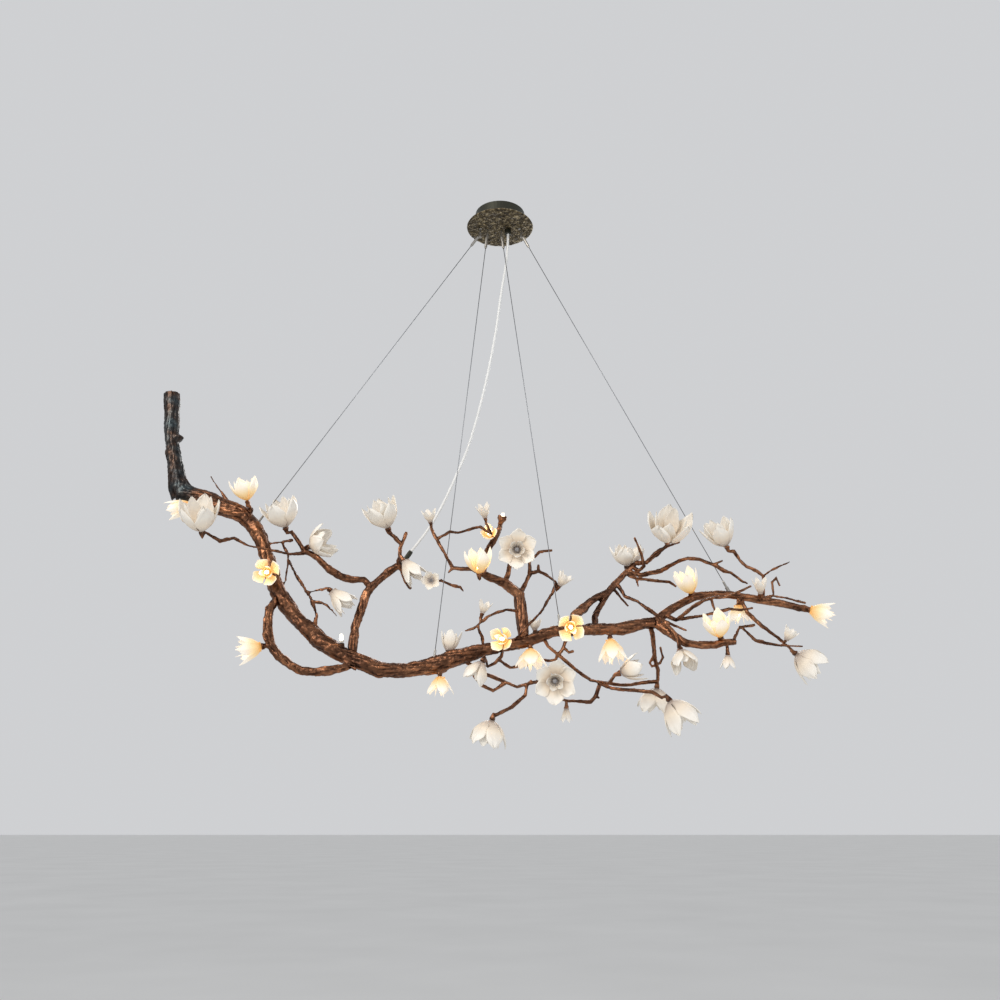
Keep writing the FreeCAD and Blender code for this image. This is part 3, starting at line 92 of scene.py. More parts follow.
class Paint:
    """A node material under construction."""

    def __init__(self, name):
        self.material = bpy.data.materials.new(name)
        self.material.use_nodes = True
        self.tree = self.material.node_tree
        self.shader = self.tree.nodes["Principled BSDF"]
        self.place = self.add("ShaderNodeTexCoord").outputs["Object"]

    def add(self, kind, **settings):
        """A new node of this kind, with its settings."""
        node = self.tree.nodes.new(kind)
        for key, value in settings.items():
            setattr(node, key, value)
        return node

    def link(self, source, target):
        self.tree.links.new(source, target)

    def set(self, **values):
        """Give the shader's inputs their values, colours or links."""
        for key, value in values.items():
            name = key.replace("_", " ")
            if isinstance(value, bpy.types.NodeSocket):
                self.link(value, self.shader.inputs[name])
            else:
                if isinstance(value, tuple) and len(value) == 3:
                    value = (*value, 1)
                self.shader.inputs[name].default_value = value

    def noise(self, scale, detail=5, rough=0.6):
        """A cloud of noise in the object's own space."""
        node = self.add("ShaderNodeTexNoise")
        node.inputs["Scale"].default_value = scale
        node.inputs["Detail"].default_value = detail
        node.inputs["Roughness"].default_value = rough
        self.link(self.place, node.inputs["Vector"])
        return node.outputs["Fac"]

    def grained(self, colour, scale, darkest):
        """The shared fine grain in this colour, and its height."""
        node = self.add("ShaderNodeGroup", node_tree=FINE_GRAIN)
        node.inputs["Colour"].default_value = (*colour, 1)
        node.inputs["Scale"].default_value = scale
        node.inputs["Darkest"].default_value = darkest
        self.link(self.place, node.inputs["Place"])
        return node.outputs["Colour"], node.outputs["Height"]

    def ramp(self, source, stops):
        """Colours laid over a value, each at its own stop."""
        node = self.add("ShaderNodeValToRGB")
        while len(node.color_ramp.elements) < len(stops):
            node.color_ramp.elements.new(0.5)
        for element, (at, colour) in zip(node.color_ramp.elements, stops):
            element.position = at
            element.color = (*colour, 1)
        self.link(source, node.inputs["Fac"])
        return node.outputs["Color"]

    def mix(self, share, first, second, blend="MIX"):
        """Two colours blended; each may be a link or a plain colour."""
        node = self.add("ShaderNodeMix", data_type="RGBA", blend_type=blend)
        for socket, value in zip((node.inputs[0], node.inputs[6],
                                  node.inputs[7]), (share, first, second)):
            if isinstance(value, bpy.types.NodeSocket):
                self.link(value, socket)
            elif isinstance(value, tuple):
                socket.default_value = (*value, 1)
            else:
                socket.default_value = value
        return node.outputs[2]

    def bump(self, height, strength, distance):
        """Let a value stand out of the surface as fine relief."""
        node = self.add("ShaderNodeBump")
        node.inputs["Strength"].default_value = strength
        node.inputs["Distance"].default_value = distance
        self.link(height, node.inputs["Height"])
        self.link(node.outputs["Normal"], self.shader.inputs["Normal"])

    def mask(self, name):
        """The value that a piece's points carry under this name."""
        return self.add("ShaderNodeAttribute",
                        attribute_name=name).outputs["Fac"]


def bronze_bark():
    """Copper-bronze with painted shade in the hollows, painted orange
    highlights on the ridges and a black butt.
    """
    paint = Paint("patinated bronze")
    broad = paint.noise(14, 4)
    fine = paint.noise(160, 6, 0.7)
    metal = paint.ramp(broad, [(0.34, (0.130, 0.064, 0.038)),
                               (0.52, (0.260, 0.128, 0.070)),
                               (0.72, (0.44, 0.225, 0.120))])
    # painted shade darkens the grooves and painted highlight brightens the
    # ridges, on the black butt too
    groove_shade_ridge_highlight = paint.ramp(paint.mask("relief"), [
        (0.12, (0.24, 0.20, 0.19)), (0.50, (0.70, 0.66, 0.64)),
        (0.90, (1.40, 1.22, 1.08))])
    metal = paint.mix(1.0, metal, groove_shade_ridge_highlight, "MULTIPLY")
    grain = paint.ramp(fine, [(0.3, (0.55, 0.5, 0.5)), (0.7, (1.2, 1.2, 1.2))])
    metal = paint.mix(0.8, metal, grain, "MULTIPLY")
    cold = paint.ramp(paint.noise(26, 5), [(0.34, (0.085, 0.054, 0.040)),
                                           (0.50, (0.050, 0.048, 0.048)),
                                           (0.70, (0.070, 0.098, 0.112))])
    cold = paint.mix(1.0, cold, groove_shade_ridge_highlight, "MULTIPLY")
    metal = paint.mix(paint.mask("butt"), metal, cold)
    rough = paint.ramp(fine, [(0.2, (0.26,) * 3), (0.8, (0.44,) * 3)])
    paint.set(Base_Color=metal, Metallic=0.9, Roughness=rough)
    paint.bump(fine, 0.35, 0.0008)
    return paint.material


def porcelain(name, lit):
    """Glazed cream-white petals, darkened towards the throat by painted shade;
    a lit flower has painted lamp light in its colour and glows from its throat.
    """
    paint = Paint(name)
    depth = paint.mask("throat")
    veins = paint.mask("vein")
    # rim, middle and throat colours: an unlit flower darkens towards the throat
    # as painted shade; a lit one turns orange there as painted lamp light
    throat_shade_and_lamp_light = (((0.88, 0.82, 0.72), (0.85, 0.64, 0.36), (0.75, 0.42, 0.14))
             if lit else
             ((0.98, 0.94, 0.86), (0.93, 0.82, 0.67), (0.46, 0.38, 0.33)))
    body = paint.ramp(depth, list(zip((0.0, 0.45, 1.0), throat_shade_and_lamp_light)))
    cloud = paint.ramp(paint.noise(40, 4), [(0.3, (0.90, 0.87, 0.86)),
                                            (0.7, (1.0, 1.0, 1.0))])
    body = paint.mix(0.7, body, cloud, "MULTIPLY")
    paint.set(Base_Color=body, Roughness=0.42, Specular_IOR_Level=0.4)
    paint.bump(veins, 0.12, 0.0008)
    if lit:
        # painted lamp light: the lit petals glow themselves, most orange in the
        # throat
        glow = paint.ramp(depth, [(0.0, (1.0, 0.90, 0.74)),
                                  (0.40, (1.0, 0.76, 0.40)),
                                  (0.75, (1.0, 0.58, 0.18)),
                                  (1.0, (1.0, 0.46, 0.10))])
        paint.set(Emission_Color=glow, Emission_Strength=PETAL_GLOW)
    return paint.material


def plain(name, colour, metallic=0.0, rough=0.5, grain=0.0, scale=300):
    """One even finish with a faint grain."""
    paint = Paint(name)
    tone, height = paint.grained(colour, scale, 0.8)
    paint.set(Base_Color=tone, Metallic=metallic, Roughness=rough)
    if grain:
        paint.bump(height, grain, 0.0005)
    return paint.material


def hammered():
    """Old bronze with coarse hammer marks and pale specks of painted highlight.
    """
    paint = Paint("hammered bronze")
    dents = paint.noise(95, 6, 0.75)
    # near-black in the dents; the pale top stop is painted highlight, glints on
    # the high spots
    metal = paint.ramp(dents, [(0.36, (0.012, 0.009, 0.005)),
                               (0.52, (0.10, 0.074, 0.038)),
                               (0.62, (0.36, 0.29, 0.17)),
                               (0.70, (0.95, 0.86, 0.68))])
    rough = paint.ramp(paint.noise(200), [(0.3, (0.24,) * 3),
                                          (0.7, (0.5,) * 3)])
    paint.set(Base_Color=metal, Metallic=0.8, Roughness=rough)
    paint.bump(dents, 0.9, 0.004)
    return paint.material


def lamp_glow():
    """The frosted glass of a burning capsule lamp."""
    paint = Paint("lamp glow")
    core = paint.ramp(paint.noise(40, 2), [(0.3, (1.0, 0.78, 0.45)),
                                           (0.7, (1.0, 0.86, 0.6))])
    paint.set(Base_Color=(1.0, 0.9, 0.75), Roughness=0.3,
              Emission_Color=core, Emission_Strength=LAMP_GLOW)
    return paint.material


MATERIALS = {
    "bark": bronze_bark(),
    "porcelain": porcelain("porcelain", False),
    "lit": porcelain("lit porcelain", True),
    "disc": hammered(),
    "cup": plain("dark bronze", (0.045, 0.045, 0.032), 0.7, 0.45, 0.4),
    "steel": plain("brushed steel", (0.40, 0.38, 0.35), 1.0, 0.42, 0.2),
    "cable": plain("steel cable", (0.30, 0.31, 0.33), 0.9, 0.4, 0.6, 900),
    "cord": plain("white cord", (0.86, 0.86, 0.85), 0.0, 0.42),
    "plastic": plain("white plastic", (0.85, 0.85, 0.84)),
    "holder": plain("lamp holder", (0.85, 0.80, 0.70)),
    "stamen": plain("stamen bronze", (0.34, 0.33, 0.34), 0.2, 0.45, 0.5),
    "lamp": lamp_glow(),
}


# ------------------------------------------------------- making of pieces
def new_piece(name, mesh, look, body, stands_for=()):
    """Put a finished mesh in the scene, riding on its body."""
    piece = bpy.data.objects.new(name, mesh)
    bpy.context.scene.collection.objects.link(piece)
    mesh.materials.clear()
    mesh.materials.append(MATERIALS[look])
    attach(piece, body)
    if stands_for:
        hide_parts(*stands_for)
    return piece


def outward(mesh):
    """Turn every face of closed solids to point out."""
    edit = bmesh.new()
    edit.from_mesh(mesh)
    bmesh.ops.recalc_face_normals(edit, faces=edit.faces)
    edit.to_mesh(mesh)
    edit.free()
    return mesh


def merged(node):
    """A CAD node's mesh, opened for editing with its doubled corners joined."""
    edit = bmesh.new()
    edit.from_mesh(nodes[node].data)
    bmesh.ops.remove_doubles(edit, verts=edit.verts, dist=SAME_POINT)
    return edit


def merged_copy(node, name):
    """An object of its own with a CAD node's form."""
    mesh = bpy.data.meshes.new(name)
    edit = merged(node)
    edit.to_mesh(mesh)
    edit.free()
    piece = bpy.data.objects.new(name, mesh)
    bpy.context.scene.collection.objects.link(piece)
    return piece


def finished(piece):
    """Apply a piece's modifiers and give back its mesh alone."""
    bpy.ops.object.select_all(action="DESELECT")
    piece.select_set(True)
    bpy.context.view_layer.objects.active = piece
    for modifier in list(piece.modifiers):
        bpy.ops.object.modifier_apply(modifier=modifier.name)
    mesh = piece.data
    name = piece.name
    bpy.data.objects.remove(piece)
    mesh.name = name
    return mesh


def mark(mesh, name, values):
    """Note a value at every point of a mesh, for its material to read."""
    layer = mesh.attributes.new(name, "FLOAT", "POINT")
    layer.data.foreach_set("value", values)


def islands(node):
    """The separate solids of a node, each as its own corner points."""
    edit = merged(node)
    left = set(edit.verts)
    found = []
    for first in edit.verts:
        if first not in left:
            continue
        left.remove(first)
        queue = [first]
        corners = []
        while queue:
            corner = queue.pop()
            corners.append(corner.co.copy())
            for edge in corner.link_edges:
                other = edge.other_vert(corner)
                if other in left:
                    left.remove(other)
                    queue.append(other)
        found.append(corners)
    edit.free()
    found.sort(key=lambda corners: tuple(round(c, 5) for c in
                                         centre(corners)))
    return found


def centre(corners):
    """The middle of some corner points."""
    return sum(corners, Vector()) / len(corners)


def side_pair(axis):
    """Two directions square to an axis and to each other."""
    side = axis.cross(UP)
    if side.length < 0.2:
        side = axis.cross(Vector((0, 1, 0)))
    side.normalize()
    return side, axis.cross(side).normalized()


def turned(name, profile, sides):
    """A turned blank, drawn up ring by ring; profile holds (radius, height)."""
    bpy.ops.object.select_all(action="DESELECT")
    (radius, height), *rings = profile
    bpy.ops.mesh.primitive_circle_add(vertices=sides, radius=radius,
                                      fill_type="NGON",
                                      location=(0, 0, height))
    blank = bpy.context.object
    blank.name = name
    bpy.ops.object.transform_apply(location=True)
    bpy.ops.object.mode_set(mode="EDIT")
    bpy.ops.mesh.select_all(action="SELECT")
    for next_radius, next_height in rings:
        bpy.ops.mesh.extrude_region_move(TRANSFORM_OT_translate={
            "value": (0, 0, next_height - height)})
        share = next_radius / radius
        bpy.ops.transform.resize(value=(share, share, 1),
                                 center_override=(0, 0, next_height))
        radius, height = next_radius, next_height
    bpy.ops.mesh.select_all(action="SELECT")
    bpy.ops.mesh.normals_make_consistent(inside=False)
    bpy.ops.mesh.faces_shade_smooth()
    bpy.ops.object.mode_set(mode="OBJECT")
    return finished(blank)


class Pile:
    """Points and faces of several solids gathered for one mesh."""

    def __init__(self):
        self.points = []
        self.faces = []
        self.flat_faces = []

    def stand(self, blank, foot, axis, stretch=1.0):
        """A copy of a turned blank, stood on its foot along an axis."""
        side, rise = side_pair(axis)
        start = len(self.points)
        for corner in blank.vertices:
            x, y, up = corner.co
            self.points.append(foot - rise * x + side * y
                               + axis * (up * stretch))
        for face in blank.polygons:
            self.faces.append(tuple(start + i for i in face.vertices))

    def mesh(self, name):
        """The solids as one mesh, smooth but for the flat faces."""
        mesh = bpy.data.meshes.new(name)
        mesh.from_pydata([tuple(p) for p in self.points], [], self.faces)
        mesh.validate()
        mesh.polygons.foreach_set("use_smooth", [True] * len(mesh.polygons))
        for number in self.flat_faces:
            mesh.polygons[number].use_smooth = False
        mesh.update()
        return outward(mesh)


def long_axis(corners):
    """The middle of a long solid and the way it runs, upwards."""
    spots = np.array([tuple(c) for c in corners])
    middle = spots.mean(0)
    way = Vector(np.linalg.svd(spots - middle)[2][0])
    if way.z < 0:
        way.negate()
    return Vector(middle), way.normalized()


def span_along(corners, foot, axis):
    """The lowest and the highest that corners reach along an axis."""
    heights = [(c - foot).dot(axis) for c in corners]
    return min(heights), max(heights)


# ------------------------------------------------------------------- bark
# (x, z, reach, height) of knots and burrs on the trunk, in metres
KNOTS = [(-0.851, -0.672, 0.012, 0.017), (-0.846, -0.905, 0.015, 0.006),
         (-0.875, -0.720, 0.020, 0.003), (-0.815, -1.100, 0.020, 0.010),
         (-0.640, -1.120, 0.018, 0.007), (-0.571, -1.190, 0.016, 0.006),
         (-0.505, -1.355, 0.020, 0.006), (-0.330, -1.500, 0.024, 0.005),
         (-0.165, -1.500, 0.022, 0.006), (-0.070, -1.450, 0.016, 0.006),
         (0.135, -1.400, 0.014, 0.005), (0.300, -1.400, 0.014, 0.005)]
# the square heel under the butt: where across, its top, half width, drop
HEEL = (-0.864, -0.785, 0.019, 0.030)
HEEL_RISE = 0.035       # over how far below its top the heel comes in
BUTT_END = -0.765       # where across the black butt turns to bronze
BUTT_BLEND = 0.03
# how deep the bark of each casting is cut, in metres
BARK_DEPTH = {"trunk": 0.0026, "hoop_branch": 0.0018, "fork_branch": 0.0015,
              "upright_branch": 0.0014, "climbing_branch": 0.0012,
              "upper_right_limb": 0.0013, "lower_right_limb": 0.0013,
              "hanging_twigs": 0.0010}
TWIG_GRAIN = 0.0016     # the smallest form in a twig's surface, in metres
TRUNK_GRAIN = 0.0023
GROOVES = 210           # how many to a metre, before they are drawn out
PITS = 120
LUMPS = 21
STREAK_ROUNDS = 34      # how long the grooves are drawn along the limb
KEPT_SHARE = 0.15       # of its own value that a point keeps each round
MIDDLE_RELIEF = 0.55    # bark higher than this stands out, lower sinks in


def way_along(node, spots):
    """The way each bark point's limb runs, from the CAD rod's long edges."""
    rod = merged(node)
    bmesh.ops.dissolve_limit(rod, angle_limit=math.radians(1),
                             verts=rod.verts, edges=rod.edges)
    rod.faces.ensure_lookup_table()
    runs = []
    for face in rod.faces:
        longest = max(face.edges, key=lambda edge: edge.calc_length())
        run = longest.verts[0].co - longest.verts[1].co
        runs.append(run.normalized())
    tree = BVHTree.FromBMesh(rod)
    ways = np.empty((len(spots), 3))
    for i, spot in enumerate(spots):
        ways[i] = runs[tree.find_nearest(spot)[2]]
    rod.free()
    return ways


def drawn_out(values, ways, spots, mesh):
    """Smear values along the limb, so that they turn into long streaks."""
    ends = np.empty(len(mesh.edges) * 2, dtype=int)
    mesh.edges.foreach_get("vertices", ends)
    a, b = ends.reshape(-1, 2).T
    step = spots[b] - spots[a]
    step /= np.linalg.norm(step, axis=1)[:, None] + 1e-9
    share = np.maximum(np.abs((step * ways[a]).sum(1)),
                       np.abs((step * ways[b]).sum(1))) ** 6
    count = len(values)
    whole = KEPT_SHARE + np.bincount(a, share, count) + np.bincount(
        b, share, count)
    for _ in range(STREAK_ROUNDS):
        values = (KEPT_SHARE * values + np.bincount(a, share * values[b], count)
                  + np.bincount(b, share * values[a], count)) / whole
    return values


def levelled(values):
    """Stretch values to run from 0 to 1, their outliers cut off."""
    low, high = np.percentile(values, (1, 99))
    return np.clip((values - low) / (high - low), 0, 1)


def rows_of(mesh, what):
    """The place or the normal of every point, one row each."""
    rows = np.empty(len(mesh.vertices) * 3)
    mesh.vertices.foreach_get(what, rows)
    return rows.reshape(-1, 3)


def cast_blank(node):
    """The casting's rods melted into one rounded skin."""
    piece = merged_copy(node, "bark_" + node)
    melt = piece.modifiers.new("melt", "REMESH")
    melt.mode = "VOXEL"
    melt.voxel_size = TRUNK_GRAIN if node == "trunk" else TWIG_GRAIN
    soften = piece.modifiers.new("soften", "SMOOTH")
    soften.factor = 0.5
    soften.iterations = 6 if node == "trunk" else 4
    return finished(piece)


def grow_bark(node):
    """The cast bark of one casting: rounded limbs with cracks and knots."""
    mesh = cast_blank(node)
    spots = rows_of(mesh, "co")
    normals = rows_of(mesh, "normal")
    count = len(spots)
    grooves = np.empty(count)
    pits = np.empty(count)
    lumps = np.empty(count)
    for i, row in enumerate(spots):
        spot = Vector(row)
        grooves[i] = noise.noise(spot * GROOVES)
        pits[i] = noise.fractal(spot * PITS, 0.9, 2.1, 3)
        lumps[i] = noise.noise(spot * LUMPS)
    grooves = levelled(drawn_out(grooves, way_along(node, spots), spots, mesh))
    relief = levelled(0.7 * grooves + 0.3 * levelled(pits))
    depth = BARK_DEPTH[node]
    height = relief - MIDDLE_RELIEF
    push = (2.0 * height + 1.2 * lumps) * depth
    butt = np.zeros(count)
    if node == "trunk":
        for x, z, reach, knot in KNOTS:
            away = (spots[:, 0] - x) ** 2 + (spots[:, 2] - z) ** 2
            push += knot * np.exp(-away / (0.5 * reach ** 2))
        butt = np.clip((BUTT_END - spots[:, 0]) / BUTT_BLEND, 0, 1)
        push += butt * (0.25 * pits - 1.1 * height) * depth
    spots = spots + normals * push[:, None]
    if node == "trunk":
        across, top, wide, drop = HEEL
        below = np.clip((top - spots[:, 2]) / HEEL_RISE, 0, 1)
        spots[:, 2] -= drop * below * np.exp(
            -((spots[:, 0] - across) / wide) ** 4)
    mesh.vertices.foreach_set("co", spots.ravel())
    mark(mesh, "relief", relief)
    mark(mesh, "butt", butt)
    mesh.polygons.foreach_set("use_smooth", [True] * len(mesh.polygons))
    mesh.update()
    new_piece("bark_" + node, mesh, "bark", "branch", [node])


for bark_node in BARK_DEPTH:
    grow_bark(bark_node)


# ---------------------------------------------------------------- flowers
# For each family: belly radius and height as shares of rim radius and
# flower height, then rings of petals (count, reach, height, width, curl),
# how far a petal's edges cup, and how much they ruffle.
FAMILIES = {
    "lit_cup": (0.90, 0.40, [(5, 0.94, 0.98, 0.64, 0.40),
                             (4, 0.72, 0.92, 0.60, 0.05)], 0.26, 0.05),
    "lit_tulip": (0.98, 0.40, [(4, 0.84, 0.92, 0.62, 0.40),
                               (3, 0.60, 1.0, 0.62, 0.0)], 0.30, 0.03),
    "lit_bell": (0.74, 0.36, [(5, 0.94, 0.92, 0.60, 0.60),
                              (3, 0.44, 1.06, 0.50, -0.06)], 0.22, 0.05),
    "lit_open": (0.78, 0.30, [(4, 1.0, 0.90, 0.58, 0.0),
                              (3, 0.50, 1.10, 0.46, -0.20)], 0.42, 0.02),
    "spread_flower": (0.86, 0.36, [(5, 0.92, 0.93, 0.68, 0.62),
                                   (4, 0.70, 1.0, 0.62, 0.15)], 0.24, 0.07),
    "open_flower": (0.62, 0.32, [(6, 1.0, 0.85, 0.50, 0.12),
                                 (5, 0.48, 0.90, 0.46, -0.20)], 0.22, 0.09),
    "trumpet_flower": (0.80, 0.40, [(5, 0.92, 0.94, 0.66, 0.60),
                                    (3, 0.62, 1.0, 0.60, 0.1)], 0.24, 0.07),
    "half_open": (0.86, 0.42, [(4, 0.94, 1.0, 0.72, 0.40),
                               (3, 0.70, 0.9, 0.66, 0.0)], 0.26, 0.06),
    "small": (0.72, 0.40, [(5, 0.94, 0.95, 0.58, 0.50)], 0.24, 0.04),
}
WIDEST = 0.56       # where along its length a petal is widest
WIDTH_SHARE = 0.86  # of a petal's drawn width that it really has
TORN_TIP = 0.42     # how far a tip is torn, as a share of the width
WAVY_SIDE = 0.13    # how far the sides sway, likewise
CURL_FROM = 0.55    # where along its length a petal begins to curl
TORN_FROM = 0.60    # where along its length a tip begins to tear
MID_RIB = 0.05      # how deep the fold along the middle is
TIP_ROUNDNESS = 0.58
VEINS = 24
PETAL_ROWS = 12
PETAL_COLUMNS = 10
PETAL_THICK = 0.0011
SMALL_RIM = 0.025   # a flower with a narrower rim is a small one, in metres
SMALL_FOOT = 0.0042
LARGE_FOOT = 0.0062
SEAT = turned("seat", [(0.0064, 0.0003), (0.0068, 0.002), (0.0062, 0.0032)],
              20)


class Site:
    """Where one flower stands, read from its CAD solid and its fixing."""

    def __init__(self, node, corners, fixing):
        self.family = max((f for f in FAMILIES if node.startswith(f)), key=len)
        self.lit = node.startswith("lit_")
        hub = centre(fixing)
        self.axis = (centre(corners) - hub).normalized()
        low = span_along(corners, hub, self.axis)[0]
        self.foot = hub + self.axis * low
        self.height = span_along(corners, self.foot, self.axis)[1]
        self.rim = max((c - self.foot - self.axis * (
            (c - self.foot).dot(self.axis))).length for c in corners)
        self.small = self.rim < SMALL_RIM


def half_width(t, narrow, full):
    """Half a petal's width at a share of its length."""
    if t < WIDEST:
        share = t / WIDEST
        return narrow + (full - narrow) * share * share * (3 - 2 * share)
    share = (t - WIDEST) / (1 - WIDEST)
    return full * max(0.03, 1 - share * share) ** TIP_ROUNDNESS


def close_petal(pile, start):
    """Faces of both skins of a petal, and the rim that joins them."""
    wide = PETAL_COLUMNS + 1
    layer = wide * (PETAL_ROWS + 1)
    for row in range(PETAL_ROWS):
        for column in range(PETAL_COLUMNS):
            a = start + row * wide + column
            b = a + wide
            pile.faces.append((a, a + 1, b + 1, b))
            pile.faces.append((a + layer, b + layer, b + 1 + layer,
                               a + 1 + layer))
    rim = list(range(wide))
    rim += [r * wide + PETAL_COLUMNS for r in range(1, PETAL_ROWS + 1)]
    rim += [PETAL_ROWS * wide + c for c in range(PETAL_COLUMNS - 1, -1, -1)]
    rim += [r * wide for r in range(PETAL_ROWS - 1, 0, -1)]
    for a, b in zip(rim, rim[1:] + rim[:1]):
        pile.flat_faces.append(len(pile.faces))
        pile.faces.append((start + b, start + a, start + a + layer,
                           start + b + layer))


def petal(pile, masks, site, ring, turn, dice):
    """One closed petal, curved along and across."""
    belly_share, belly_at, rings, cup, ruffle = FAMILIES[site.family]
    count, reach, tall, wide, curl = ring
    reach *= dice.uniform(0.94, 1.0)
    tall *= dice.uniform(0.93, 1.0)
    foot = Vector((SMALL_FOOT if site.small else LARGE_FOOT, 0.0005))
    rim = Vector((site.rim * reach, site.height * tall))
    belly = Vector((site.rim * reach * belly_share, site.height * belly_at))
    bend = belly * 2 - (foot + rim) / 2
    side, rise = side_pair(site.axis)
    out = side * math.cos(turn) + rise * math.sin(turn)
    flank = site.axis.cross(out)
    wave = dice.uniform(0, 6.28)
    narrow = foot.x * math.tan(math.pi / count) * 1.15
    full = site.rim * reach * wide * WIDTH_SHARE
    start = len(pile.points)
    skins = ([], [])
    throats = []
    veins = []
    for row in range(PETAL_ROWS + 1):
        t = math.sin(math.pi / 2 * row / PETAL_ROWS)
        spot = foot * (1 - t) ** 2 + bend * (2 * t * (1 - t)) + rim * t * t
        way = (bend - foot) * (2 - 2 * t) + (rim - bend) * (2 * t)
        way.normalize()
        inward = Vector((-way.y, way.x))
        spot -= inward * (curl * site.rim * max(0, t - CURL_FROM) ** 1.5)
        half = half_width(t, narrow, full)
        for column in range(PETAL_COLUMNS + 1):
            u = column / PETAL_COLUMNS * 2 - 1
            lift = half * (cup * u * u
                           + ruffle * t * t * math.sin(u * 4.2 + wave)
                           - MID_RIB * t * math.exp(-(u * 5) ** 2))
            thick = PETAL_THICK * (1 - 0.45 * t)
            tear = TORN_TIP * full * max(0, t - TORN_FROM) * math.cos(
                u * 6 + wave)
            sway = 1 + WAVY_SIDE * t * math.sin(t * 12 + wave + 2 * u)
            for skin, layer in zip(skins, (0.0, thick)):
                flat = spot - way * tear + inward * (lift + layer)
                skin.append(site.foot + out * flat.x + site.axis * flat.y
                            + flank * (u * half * sway))
            # how deep in the throat a point lies, which sets the painted throat
            # shade of an unlit flower and the painted lamp light of a lit one
            throats.append(max(0.0, 1 - t * 1.25))
            veins.append(0.5 + 0.5 * math.cos(
                u * VEINS + 2 * math.sin(t * 5)))
    pile.points.extend(skins[0] + skins[1])
    masks["throat"].extend(throats * 2)
    masks["vein"].extend(veins * 2)
    close_petal(pile, start)


def flower(name, site, node, dice):
    """Rings of petals round a seat, each ring turned by half a petal."""
    pile = Pile()
    masks = {"throat": [], "vein": []}
    start = dice.uniform(0, 6.28)
    for ring in FAMILIES[site.family][2]:
        for k in range(ring[0]):
            turn = start + FULL_TURN * (k + dice.uniform(-.06, .06)) / ring[0]
            petal(pile, masks, site, ring, turn, dice)
        start += math.pi / ring[0]
    pile.stand(SEAT, site.foot, site.axis)
    # the seat takes the deepest throat colour: painted shade on an unlit
    # flower, painted lamp light on a lit one
    masks["throat"].extend([1.0] * len(SEAT.vertices))
    masks["vein"].extend([0.5] * len(SEAT.vertices))
    mesh = pile.mesh(name)
    for mask, values in masks.items():
        mark(mesh, mask, values)
    new_piece(name, mesh, "lit" if site.lit else "porcelain", "branch", [node])


holders = islands("lamp_holders")
capsules = islands("lamp_capsules")
nuts = islands("flower_nuts")
sites = []
for node in sorted(n for n in nodes if n.startswith((
        "lit_", "spread_", "open_", "trumpet_", "half_", "small_"))):
    for number, corners in enumerate(islands(node), 1):
        middle = centre(corners)
        fixing = min(holders if node.startswith("lit_") else nuts,
                     key=lambda f: (centre(f) - middle).length)
        site = Site(node, corners, fixing)
        name = "petals_" + node
        if node in ("small_blossoms", "half_open_flowers"):
            name += "_%d" % number
        flower(name, site, node, random.Random(len(sites) * 7 + 3))
        sites.append(site)


# ------------------------------------------------------ lamps and stamens
def lamp_blanks(low, high):
    """The capsule lamp, from its base to its tip, and its holder."""
    tall = high - low
    lamp = turned("lamp", [
        (0.0026, low), (0.0040, low + 0.0006), (0.0042, low + tall * 0.3),
        (0.0042, low + tall * 0.66), (0.0036, low + tall * 0.82),
        (0.0022, low + tall * 0.94), (0.0008, high)], 16)
    holder = turned("holder", [
        (0.0026, 0), (0.0026, 0.003), (0.0050, 0.003), (0.0055, 0.0036),
        (0.0055, low - 0.0008), (0.0048, low)], 20)
    return lamp, holder


lamp_pile = Pile()
holder_pile = Pile()
for capsule in capsules:
    middle = centre(capsule)
    holder = min(holders, key=lambda f: (centre(f) - middle).length)
    way = (middle - centre(holder)).normalized()
    foot = centre(holder) + way * span_along(holder, centre(holder), way)[0]
    lamp_blank, holder_blank = lamp_blanks(*span_along(capsule, foot, way))
    lamp_pile.stand(lamp_blank, foot, way)
    holder_pile.stand(holder_blank, foot, way)
new_piece("lamps", lamp_pile.mesh("lamps"), "lamp", "branch",
          ["lamp_capsules"])
new_piece("holders", holder_pile.mesh("holders"), "holder", "branch",
          ["lamp_holders"])


def pistil_blank(grow):
    """The small dome in the middle of a flower, over its nut."""
    return turned("pistil", [
        (0.0025 * grow, 0.001), (0.0045 * grow, 0.003),
        (0.0050 * grow, 0.0055 * grow + 0.001),
        (0.0040 * grow, 0.0080 * grow + 0.001),
        (0.0016 * grow, 0.0098 * grow + 0.001)], 14)


STAMENS = 12
PISTILS = {grow: pistil_blank(grow) for grow in (0.6, 1.0, 1.35)}
FILAMENT = turned("filament", [(0.0004, 0), (0.0004, 0.8), (0.0010, 0.88),
                               (0.0010, 0.96), (0.0004, 1)], 6)
stamen_pile = Pile()
for number, site in enumerate(s for s in sites if not s.lit):
    dice = random.Random(100 + number)
    grow = 1.0
    if site.small:
        grow = 0.6
    elif site.family == "open_flower":
        grow = 1.35
    stamen_pile.stand(PISTILS[grow], site.foot, site.axis)
    side, rise = side_pair(site.axis)
    for k in range(STAMENS):
        angle = FULL_TURN * k / STAMENS + dice.uniform(-.1, .1)
        lean = dice.uniform(0.45, 0.65)
        spoke = side * math.cos(angle) + rise * math.sin(angle)
        way = (site.axis + spoke * lean).normalized()
        foot = site.foot + site.axis * 0.004 + spoke * 0.0035 * grow
        long = dice.uniform(0.010, 0.013) * grow
        stamen_pile.stand(FILAMENT, foot, way, long)
new_piece("stamens", stamen_pile.mesh("stamens"), "stamen", "branch",
          ["flower_nuts"])


# ------------------------------------------------- canopy and suspension
DISC_SIDES = 160
FACE_RINGS = 34         # rings of points that the beaten face has
DENTS = 110             # how many to a metre, at their coarsest
DENT_DEPTH = 0.0012


